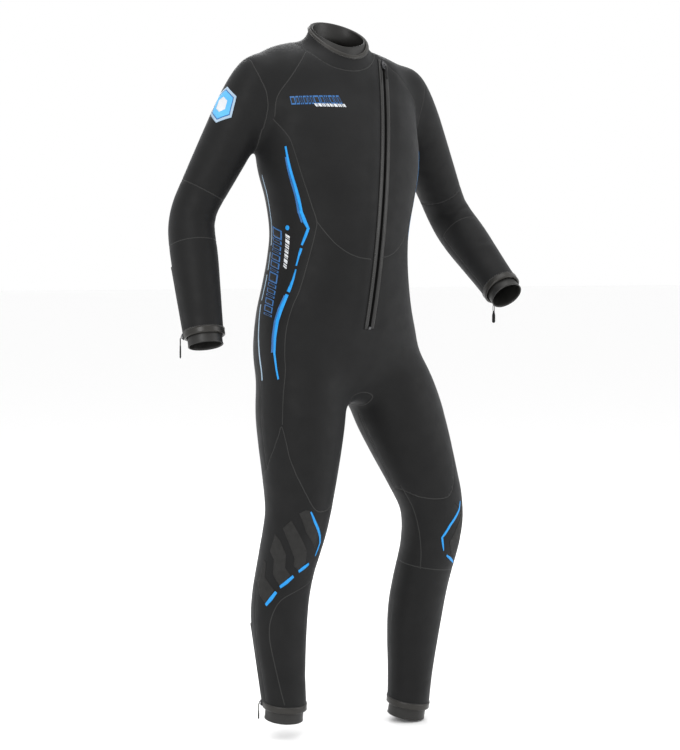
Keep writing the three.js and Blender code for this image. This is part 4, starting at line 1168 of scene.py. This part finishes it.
print("cuffs:", len(LIMBS))

# %% [markdown]
# Zips. A zip is two tapes with a coiled chain between them. The tapes of this suit are faced with
# shiny rubber and carry a line of stitches along the outer edge. The chain is made tooth by tooth,
# two interlocking rows, because a plain strip would give it away in any close view. The teeth and a
# strip sunk under them are near-black: painted shade for the dark gap between the tapes.

# %% Tapes and chains


def along(line, start, end, step):
    stops = [line(length) for length in np.linspace(start, end, max(int((end - start) / step), 2))]
    return (metres([s[0] for s in stops]), np.array([s[1] for s in stops]),
            np.array([s[2] for s in stops]))


def tape_strip(line, start, end, near, far, side, low=-1.6, crown=0.9):
    place, out, _ = along(line, start, end, 4)
    section_points = [(near, low), (near, crown - 0.4), (near + 0.7, crown), (far - 1.1, crown),
                      (far - 0.2, crown - 0.45), (far, low)]
    return sweep(place, out, [(a * side / 1000, b / 1000) for a, b in section_points])


def teeth(line, start, end, half, pitch, crown):
    """Two rows of rounded teeth that reach past the middle by turns."""
    outline = [(-0.42, -0.25), (-0.42, 0.25), (-0.2, 0.42), (0.2, 0.42), (0.42, 0.25),
               (0.42, -0.25), (0.2, -0.42), (-0.2, -0.42)]
    levels = ((-1.0, 1.0), (crown - 0.5, 1.0), (crown, 0.72))
    faces = ring_faces(len(levels), len(outline)) + end_faces(len(levels), len(outline))
    row, length, side = [], start, 1
    while length < end:
        point, out, down = line(length)
        across = np.cross(out, down) * side
        middle = point + across * half * 0.42
        tooth = [middle + across * a * half * 1.55 * size + down * b * pitch * 1.3 * size
                 + out * height for height, size in levels for a, b in outline]
        row.append((metres(tooth), faces))
        length += pitch / 2
        side = -side
    return gather(row)


def stitch_row(line, start, end, across, lift, pitch, length):
    """Short raised stitches beside a zip."""
    stitches = []
    place = start
    while place + length < end:
        path, facing = [], []
        for t, rise in ((0, -0.25), (0.3, 0.18), (0.7, 0.18), (1, -0.25)):
            point, out, down = line(place + length * t)
            path.append(point + np.cross(out, down) * across + out * (lift + rise))
            facing.append(out)
        stitches.append(thread(metres(path), facing, 0.0003))
        place += pitch
    return gather(stitches)


half = ZIP_CHAIN / 2
for side, sign in (("right", -1), ("left", 1)):
    strip = tape_strip(main_zip, 0, zip_length - FIT, half + FIT, half + FIT + ZIP_TAPE, sign)
    strip = add_piece(f"front_zip_band_{side}", strip, "trunk", [ZIP_BAND])
    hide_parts(f"main_zip_tape_{side}")
    row = stitch_row(main_zip, 6, zip_length - 6, sign * (half + ZIP_TAPE - 1.4), 0.95, 4.2, 2.6)
    add_piece(f"front_zip_stitches_{side}", row, "trunk", [THREAD])
# The strip sunk under the teeth is near-black too: a painted-shade sheet in the gap between the
# tapes.
chain = gather([teeth(main_zip, 6, zip_length - 7, half, 2.6, 0.25),
                tape_strip(main_zip, 5.5, zip_length - 6, -half + 0.1, half - 0.1, 1, -2.6, -0.9)])
chain = add_piece("front_zip_chain", chain, "trunk", [COIL_AND_GAP_SHADE])
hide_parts("main_zip_teeth")
for name, limb in LIMBS.items():
    side, cuff, run = name[4:], CUFFS[name[:3]][0], limb["run"]
    half = CUFF_CHAIN / 2
    strips = [tape_strip(limb["line"], 0, run, half + FIT, half + FIT + CUFF_TAPE, sign, -2.2, 0.7)
              for sign in (-1, 1)]
    strips.append(tape_strip(limb["line"], run - 6, run, -half - FIT - CUFF_TAPE,
                             half + FIT + CUFF_TAPE, 1, -2.2, 0.8))
    strips = add_piece(f"{cuff}_zip_bands_{side}", gather(strips), limb["child"],
                       [ZIP_BAND])
    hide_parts(f"{cuff}_zip_tape_{side}")
    # The strip sunk under the teeth is near-black too: a painted-shade sheet in the gap between the
    # tapes.
    chain = gather([teeth(limb["line"], 1, run - 6.5, half, 2.2, 0.2),
                    tape_strip(limb["line"], 0, run - 6, -half + 0.1, half - 0.1, 1, -2.6, -0.9)])
    chain = add_piece(f"{cuff}_zip_chain_{side}", chain, limb["child"], [COIL_AND_GAP_SHADE])
    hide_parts(f"{cuff}_zip_teeth_{side}")
print("zips:", 1 + len(LIMBS))

# %% [markdown]
# Behind the front zip lies a flap of jersey that keeps the water out. It is seen only through the
# neck or when the zip is open. It follows the inner face of the skin.

# %% The flap behind the front zip
FLAP_ROWS, FLAP_SIDES, FLAP_HALF = 60, 9, 26
rows = []
for length in np.linspace(10, zip_length + 10, FLAP_ROWS):
    point, out, down = main_zip(length)
    across = np.cross(out, down)
    spread = np.linspace(-FLAP_HALF, FLAP_HALF, FLAP_SIDES)
    places, facing = drape(metres([point + across * a for a in spread]))
    rows.append(places - facing * 0.0054)
grid = [(i, i + 1, i + 1 + FLAP_SIDES, i + FLAP_SIDES)
        for i in (r * FLAP_SIDES + k for r in range(FLAP_ROWS - 1) for k in range(FLAP_SIDES - 1))]
flap = thick_piece("zip_flap", np.array(rows).reshape(-1, 3), grid, 0.0016)
finish_piece(fix_normals(flap), "trunk", [LINING, LINING])
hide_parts("main_zip_underflap")
print("flap:", FLAP_ROWS, "rows")

# %% [markdown]
# Sliders and pulls. A slider is a flat wedge with two cheeks, narrower at its tail, and a bridge
# over its back that carries the pull. The front pull is a slim ridged tab. The cuff pulls are a
# cord loop with a moulded rubber grip, hanging straight down.

# %% A slider


def through(rings):
    """A closed solid through rings of pattern points, with flat ends."""
    count, sides = len(rings), len(rings[0])
    return (metres(np.array(rings).reshape(-1, 3)),
            ring_faces(count, sides) + end_faces(count, sides))


def slider(line, start, length, width, height, lift):
    """A wedge swept along the zip, with rounded cheeks and a bridge."""
    rings, steps = [], 14
    for i in range(steps + 1):
        t = i / steps
        point, out, down = line(start + length * t)
        across = np.cross(out, down)
        end = math.sin(math.pi * min(max(t, 0.03), 0.97)) ** 0.35
        wide = width / 2 * (1 - 0.28 * max(t - 0.35, 0) / 0.65) * (0.8 + 0.2 * end)
        top, low = lift + height * (0.72 + 0.28 * end) * 0.72, lift
        ring = []
        for a, b in ((-1, 0.12), (-1, 0.62), (-0.86, 0.92), (-0.6, 1), (-0.25, 0.86), (0.25, 0.86),
                     (0.6, 1), (0.86, 0.92), (1, 0.62), (1, 0.12), (0.8, 0), (-0.8, 0)):
            ring.append(point + across * a * wide + out * (low + (top - low) * b))
        rings.append(ring)
    bridge, facing = [], []
    for t in np.linspace(0, 1, 15):
        point, out, down = line(start + length * (0.2 + 0.6 * t))
        rise = lift + height * 0.6 + (height * 0.4 + 1.0) * math.sin(math.pi * t) ** 0.6
        bridge.append(point + out * rise)
        facing.append(np.cross(out, down))
    return gather([through(rings), thread(metres(bridge), facing, 0.0009)])


def tab(pivot, hang, out, length, width, thick, ridges):
    """A moulded tab hanging from a pivot: an outline with a soft edge and raised ridges."""
    across = np.cross(out, hang)
    rows, rings = 26, []
    for i in range(rows + 1):
        t = i / rows
        round_off = math.sqrt(max(1 - (2 * max(t - 0.86, 0) / 0.28) ** 2, 0.02))
        neck = 0.55 + 0.45 * min(max((t - 0.1) / 0.25, 0), 1)
        wide = width / 2 * neck * round_off
        wave = 0.5 + 0.5 * math.cos(t * ridges * 2 * math.pi)
        ridge = 1 + (0.16 * wave if 0.4 < t < 0.9 else 0)
        deep = thick / 2 * ridge * (0.6 + 0.4 * round_off)
        ring = []
        for k in range(12):
            a = 2 * math.pi * k / 12
            x = math.copysign(abs(math.cos(a)) ** 0.6, math.cos(a)) * wide
            y = math.copysign(abs(math.sin(a)) ** 0.6, math.sin(a)) * deep
            ring.append(pivot + hang * (t * length) + across * x + out * y)
        rings.append(ring)
    return through(rings)


def joint_pivot(name):
    return np.array(joints[name]["pos_m"]) * 1000 + HANG


SLIDER_TOP, SLIDER_LENGTH = 7, 15
runner = slider(main_zip, SLIDER_TOP, SLIDER_LENGTH, 11, 4.2, 1.55)
runner = add_piece("front_slider", runner, "main_runner", [SLIDER_METAL])
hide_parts("main_slider")
_, out, down = main_zip(SLIDER_TOP + SLIDER_LENGTH * 0.8)
front_pull = tab(joint_pivot("main_pull_swing") + out * 0.1, down, out, 35, 6.4, 2.1, 9)
front_pull = add_piece("front_pull", front_pull, "main_tab", [GRIP_RUBBER])
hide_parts("main_pull")

PULLS = {"wrist": 41.0, "ankle": 33.0}
for name, limb in LIMBS.items():
    side, cuff = name[4:], CUFFS[name[:3]][0]
    line = limb["line"]
    body = slider(lambda length, line=line: (line(12 - length)[0], line(0)[1], -line(0)[2]),
                  0, 12, 9, 3.8, 1.35)
    runner = add_piece(f"{cuff}_zip_slider_{side}", body, f"{cuff}_runner_{side}",
                       [SLIDER_METAL])
    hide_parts(f"{cuff}_slider_{side}")
    pivot = joint_pivot(f"{cuff}_pull_swing_{side}")
    out = line(0)[1]
    level = unit(spot(out[0], out[1], 0))
    hang, sideways = spot(0, 0, -1), np.cross(level, spot(0, 0, -1))
    loop = []
    for t in np.linspace(0, 2 * math.pi, 25)[:-1]:
        loop.append(pivot + hang * (9 - 8.6 * math.cos(t)) + sideways * 1.7 * math.sin(t)
                    + level * 0.2 * math.sin(t))
    loop = thread(metres(loop), [level] * 24, 0.0008, closed=True)
    grip = tab(pivot + hang * 15, hang, level, PULLS[cuff] - 15.5, 7.4, 2.8, 7)
    pull = add_piece(f"{cuff}_zip_pull_{side}", gather([loop, grip]), f"{cuff}_tab_{side}",
                     [GRIP_RUBBER])
    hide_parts(f"{cuff}_pull_{side}")
print("sliders and pulls:", 1 + len(LIMBS))

# %% [markdown]
# The small stops at the ends of the front zip are right as they are in the frame, so they keep
# their shape and take the slider's metal.

# %% Finish for the stops
for node in ("main_zip_top_stop", "main_zip_bottom_stop"):
    materials = frame["nodes"][node].data.materials
    materials.clear()
    materials.append(SLIDER_METAL)
print("stops finished")

# %% [markdown]
# Prints. The stripes, pads and marks are ink on the jersey. Each is an outline drawn flat, filled,
# cut into a grid so that it can bend, and then laid on the skin a fraction of a millimetre proud.
# An outline is given by a height or a place on a limb, and by an angle round the body.

# %% Flat outlines laid on the skin
# mm round the body for one degree
TRUNK_GIRTH, ARM_GIRTH, LEG_GIRTH = 2.6, 0.95, 1.1


def flat_fill(outline, grid):
    """Fills an outline, given in flat mm, and cuts it into a grid."""
    mesh = bmesh.new()
    corners = [mesh.verts.new((x, y, 0)) for x, y in outline]
    edges = [mesh.edges.new((corners[i - 1], corners[i])) for i in range(len(corners))]
    bmesh.ops.triangle_fill(mesh, edges=edges, use_beauty=True)
    outline = np.array(outline)
    for axis in (0, 1):
        low, high = outline[:, axis].min(), outline[:, axis].max()
        for cut in np.arange(low + grid / 2, high, grid):
            normal = spot(axis == 0, axis == 1, 0)
            bmesh.ops.bisect_plane(mesh, geom=mesh.verts[:] + mesh.edges[:] + mesh.faces[:],
                                   plane_co=normal * cut, plane_no=normal)
    mesh.verts.index_update()
    verts = [(v.co.x, v.co.y) for v in mesh.verts]
    faces = [tuple(v.index for v in f.verts) for f in mesh.faces]
    mesh.free()
    return verts, faces


def upper_bone(owner):
    root, bend, _ = LIMBS[owner]["joints"]
    return np.linalg.norm(bend - root)


def lay_print(name, shapes, spot_at, girth, owner, material, lift=0.00035, grid=7):
    """Lays filled shapes on the skin. A shape is given by (height or place, angle), with the
    girth in mm per degree. A thin edge runs down from its border into the skin."""
    tall = 1.0 if spot_at is torso_spot else upper_bone(owner)
    pieces = []
    for shape in shapes:
        verts, faces = flat_fill([(angle * girth, place * tall) for place, angle in shape], grid)
        laid, facing = drape(metres([spot_at(y / tall, x / girth) for x, y in verts]), lift)
        base = len(laid)
        border = [(j, i, i + base, j + base) for i, j in open_edges(faces)]
        pieces.append((np.vstack([laid, laid - facing * 0.0005]), faces + border))
    finish_piece(new_object(name, *gather(pieces)), owner, [material])


def trunk_print(name, shapes, material, lift=0.00035, grid=7):
    lay_print(name, shapes, torso_spot, TRUNK_GIRTH, "trunk", material, lift, grid)


def ribbon_shape(stops, girth, tall=1.0):
    """An outline from a middle line: (place, angle, half width in degrees), square to the line."""
    flat = np.array([(angle * girth, place * tall) for place, angle, _ in stops])
    half = np.array([stop[2] * girth for stop in stops])[:, None]
    along = np.gradient(flat, axis=0)
    along /= np.linalg.norm(along, axis=1, keepdims=True)
    across = np.stack([-along[:, 1], along[:, 0]], 1) * half
    outline = np.vstack([flat + across, (flat - across)[::-1]])
    return [(y / tall, x / girth) for x, y in outline]


# %% Stripes on the right side, and the same on the left
for side, sign in (("right", -1), ("left", 1)):
    bright = [[(1181, 63.6, 0.9), (1140, 62.8, 1.3), (1090, 62.2, 1.5), (1051, 61.2, 1.6),
               (1030, 58.2, 1.7), (1018, 55.6, 1.4), (1004, 58.2, 1.4), (985, 61.4, 1.0)],
              [(979, 61.5, 1.3), (970, 62.4, 1.3), (963, 63.1, 0.9), (944, 64.4, 0.7)],
              [(937, 64.2, 0.7), (918, 65.0, 1.1), (900, 66.9, 1.7), (892, 67.9, 1.8)],
              [(887, 68.4, 1.8), (860, 71.6, 2.0), (834, 74.4, 1.9), (800, 75.4, 1.6),
               (768, 74.9, 1.3), (736, 71.6, 1.1), (716, 68.2, 0.9)]]
    deep = [[(1160, 65.0, 0.7), (1110, 65.0, 0.8), (1051, 64.0, 0.9), (1030, 61.4, 0.9)],
            [(885, 71.0, 0.7), (860, 74.6, 0.9), (834, 77.3, 1.0), (800, 78.2, 1.3),
             (770, 77.8, 1.5)]]
    rear = [[(1127, 98.6, 0.5), (1060, 99.5, 0.7), (985, 100, 0.7)],
            [(972, 100, 0.7), (950, 99.7, 0.7), (935, 99.4, 0.6)],
            [(926, 99.3, 0.7), (900, 99.8, 0.8), (874, 100.4, 0.8)],
            [(866, 100.4, 0.8), (800, 97.5, 0.8), (740, 93.6, 0.8), (712, 91.2, 0.5)]]
    for name, ribbons, material in (("side_stripe", bright, BLUE),
                                    ("side_stripe_edge", deep, DEEP_BLUE),
                                    ("rear_stripe", rear, MIST)):
        lines = [[(p, a * sign, w) for p, a, w in line] for line in ribbons]
        trunk_print(f"{name}_{side}", [ribbon_shape(line, TRUNK_GIRTH) for line in lines], material)
print("stripes laid")

# %% [markdown]
# Along each side runs a tall block of slanted bars, and on the chest a wide low mark. They stand
# for the maker's printed names, as plain shapes that say nothing. The right upper arm carries a
# six-sided badge with a pale rim.

# %% Marks and the badge


def in_box(corners, along_share, across_share):
    """A point inside a four-cornered box: corners go top-near, top-far, low-far, low-near."""
    near_top, far_top, far_low, near_low = [np.array(c, float) for c in corners]
    top = near_top + (far_top - near_top) * across_share
    low = near_low + (far_low - near_low) * across_share
    return tuple(top + (low - top) * along_share)


def glyph(corners, start, end, kind):
    """One or two slanted bars inside the box."""
    slant = 0.05
    slabs = {0: [(0, 0.36, 0, 1), (0.56, 1, 0, 1)], 1: [(0, 1, 0, 1)],
             2: [(0, 0.62, 0, 1), (0.8, 1, 0, 1)], 3: [(0, 0.22, 0, 1), (0.4, 1, 0, 1)]}
    shapes = []
    for a0, a1, c0, c1 in slabs[kind]:
        size = end - start
        points = [(start + size * a0, c0), (start + size * a1, c0), (start + size * a1, c1),
                  (start + size * a0, c1)]
        shapes.append([in_box(corners, a + slant * (c - 0.5), c) for a, c in points])
    return shapes


def glyph_row(corners, count, size, step, first):
    """A row of bar groups along a box. The kinds change by a fixed step from group to group."""
    shapes = []
    for k, start in enumerate(np.linspace(0.02, 0.98, count + 1)[:-1]):
        shapes += glyph(corners, start, start + size, (k * step + first) % 4)
    return shapes


def shrunk(shape, share):
    middle = np.mean(shape, axis=0)
    return [tuple(middle + (np.array(corner) - middle) * share) for corner in shape]


def mark(name, corners, step, thin):
    """A row of eight bar groups, each bar dark with a thin coloured outline."""
    shapes = glyph_row(corners, 8, 0.84 / 8, step, 1)
    trunk_print(name, shapes, DEEP_BLUE, grid=5)
    trunk_print(name + "_fill", [shrunk(shape, thin) for shape in shapes], BLACK, 0.0006, 5)


for side, sign in (("right", -1), ("left", 1)):
    tall = [(1024, 97.0 * sign), (1022, 84.5 * sign), (839, 82.0 * sign), (836, 92.0 * sign)]
    mark(f"side_mark_{side}", tall, 3, 0.72)
    small = [(1008, 80 * sign), (1006, 75 * sign), (935, 74.5 * sign), (937, 78.5 * sign)]
    trunk_print(f"side_note_{side}", glyph_row(small, 7, 0.1, 3, 2), WHITE, grid=4)
    ring = [(1020 + 5 * math.cos(t), (77.5 + 2.3 * math.sin(t)) * sign)
            for t in np.linspace(0, 2 * math.pi, 13)[:-1]]
    trunk_print(f"side_dot_{side}", [ring], BLUE, grid=4)
mark("chest_mark", [(1281, -53), (1264, -55.8), (1268, -12), (1286, -11)], 5, 0.66)
note = [(1267, -34), (1261, -34), (1262, -10), (1268, -9.5)]
trunk_print("chest_note", glyph_row(note, 8, 0.09, 3, 2), WHITE, 0.0009, 4)


def spot_on(name):
    """A function that gives the points of one limb by place and angle."""
    return lambda place, angle: limb_spot(LIMBS[name], place, angle)


hexagon = [(0.165, 88), (0.195, 60), (0.30, 52), (0.355, 73), (0.325, 100), (0.22, 107)]
for name, share, material, lift in (("rim", 1.3, MIST, 0.0003), ("gap", 1.1, DEEP_BLUE, 0.00045),
                                    ("face", 1.02, LIGHT_BLUE, 0.0006),
                                    ("heart", 0.55, WHITE, 0.0008)):
    lay_print("arm_badge_" + name, [shrunk(hexagon, share)], spot_on("arm_right"), ARM_GIRTH,
              "arm_right", material, lift, 5)
print("marks laid")

# %% [markdown]
# The knees carry thin printed pads in dark grey, each outlined by the jersey between them, with
# short blue dashes. The two knees differ: the right one has four pads, the left one has one and a
# long blue line.

# %% Knee pads and dashes
RIGHT_PADS = [
    [(0.85, 33), (0.83, 22), (0.835, 14.5), (0.925, -13), (1.045, -15), (0.955, 13.5)],
    [(0.935, 58), (0.89, 45), (1.055, 3), (1.12, -2), (1.165, 9), (1.135, 22), (1.095, 24)],
    [(0.97, 73), (1.005, 59), (1.08, 41), (1.15, 37), (1.19, 23), (1.255, 39), (1.195, 58),
     (1.11, 64), (1.07, 77), (1.015, 74)],
    [(1.125, 90), (1.14, 81), (1.215, 77.5), (1.28, 50), (1.37, 64), (1.325, 84), (1.265, 97)]]
LEFT_PADS = [[(0.885, 11.5), (0.955, 33), (1.02, 17), (1.09, 3), (1.15, 15), (1.17, 30),
              (1.09, 42), (1.0, 52), (0.93, 44)]]
RIGHT_DASHES = [[(1.17, 8, 2.6), (1.15, -1, 3.4), (1.13, -11, 2.6)],
                [(1.26, 39, 2.8), (1.23, 28, 3.6), (1.195, 16.5, 2.8)],
                [(1.375, 64, 2.8), (1.335, 54, 3.8), (1.29, 45, 3.0)],
                [(0.84, 13, 1.2), (0.89, 2.4, 2.2), (0.93, -8, 2.4), (0.975, -19, 2.2),
                 (1.015, -26, 2.0), (1.05, -25, 1.8), (1.09, -23, 0.8)]]
LEFT_DASHES = [[(0.89, 30, 1.0), (0.93, 23.5, 2.0), (0.965, 11, 2.4), (1.0, -1, 2.4),
                (1.045, -12, 2.2), (1.06, -16, 2.0), (1.095, -12, 1.8), (1.13, -7, 0.8)],
               [(1.155, 4, 1.4), (1.175, 20, 2.2), (1.195, 36, 1.2)]]


for leg, pads, dashes in (("leg_right", RIGHT_PADS, RIGHT_DASHES),
                          ("leg_left", LEFT_PADS, LEFT_DASHES)):
    side = leg[4:]
    lay_print(f"knee_pads_{side}", pads, spot_on(leg), LEG_GIRTH, leg, PAD, 0.0005, 6)
    dashes = [ribbon_shape(line, LEG_GIRTH, upper_bone(leg)) for line in dashes]
    lay_print(f"knee_dashes_{side}", dashes, spot_on(leg), LEG_GIRTH, leg, BLUE, 0.0008, 6)
print("knee prints laid")

# %% [markdown]
# The studio. A pale floor that runs far back under an even pale sky, and four large soft lights:
# a key on the suit's right, a fill on its left, one behind and one above. Dark rubber is seen by
# broad soft reflections, so the lights are large and weak.

# %% Floor, lights and sky


def pale_finish(name, colour):
    material = bpy.data.materials.new(name)
    material.use_nodes = True
    shader = material.node_tree.nodes["Principled BSDF"]
    shader.inputs["Base Color"].default_value = (*colour, 1)
    shader.inputs["Roughness"].default_value = 0.9
    return material


FLOOR, REACH = -HANG[2] / 1000 - 0.024, 60
CORNERS = ((-REACH, -REACH), (REACH, -REACH), (REACH, REACH), (-REACH, REACH))
LIT_SPOT = Vector((0, 0, -0.65))
bpy.context.scene.view_settings.view_transform = "Standard"
floor = new_object("floor", [(x, y, FLOOR) for x, y in CORNERS], [(0, 1, 2, 3)], False)
floor.data.materials.append(pale_finish("pale floor", (0.97, 0.97, 0.97)))


def soft_light(name, place, size, power):
    data = bpy.data.lights.new(name, "AREA")
    data.shape = "RECTANGLE"
    data.size, data.size_y = size
    data.energy = power
    light = bpy.data.objects.new(name, data)
    light.location = place
    light.rotation_euler = (LIT_SPOT - light.location).to_track_quat("-Z", "Y").to_euler()
    bpy.context.scene.collection.objects.link(light)


soft_light("key", (-3.2, -2.4, 1.4), (1.6, 2.6), 80)
soft_light("fill", (2.6, -2.6, 0.3), (1.6, 2.6), 42)
soft_light("back", (1.5, 3.0, 1.2), (2.0, 2.2), 60)
soft_light("top", (0, -0.3, 3.0), (2.4, 2.4), 38)
world = bpy.data.worlds.new("pale sky")
world.use_nodes = True
world.node_tree.nodes["Background"].inputs["Color"].default_value = (1, 1, 1, 1)
world.node_tree.nodes["Background"].inputs["Strength"].default_value = 1.0
bpy.context.scene.world = world
print("floor at", round(FLOOR, 4))
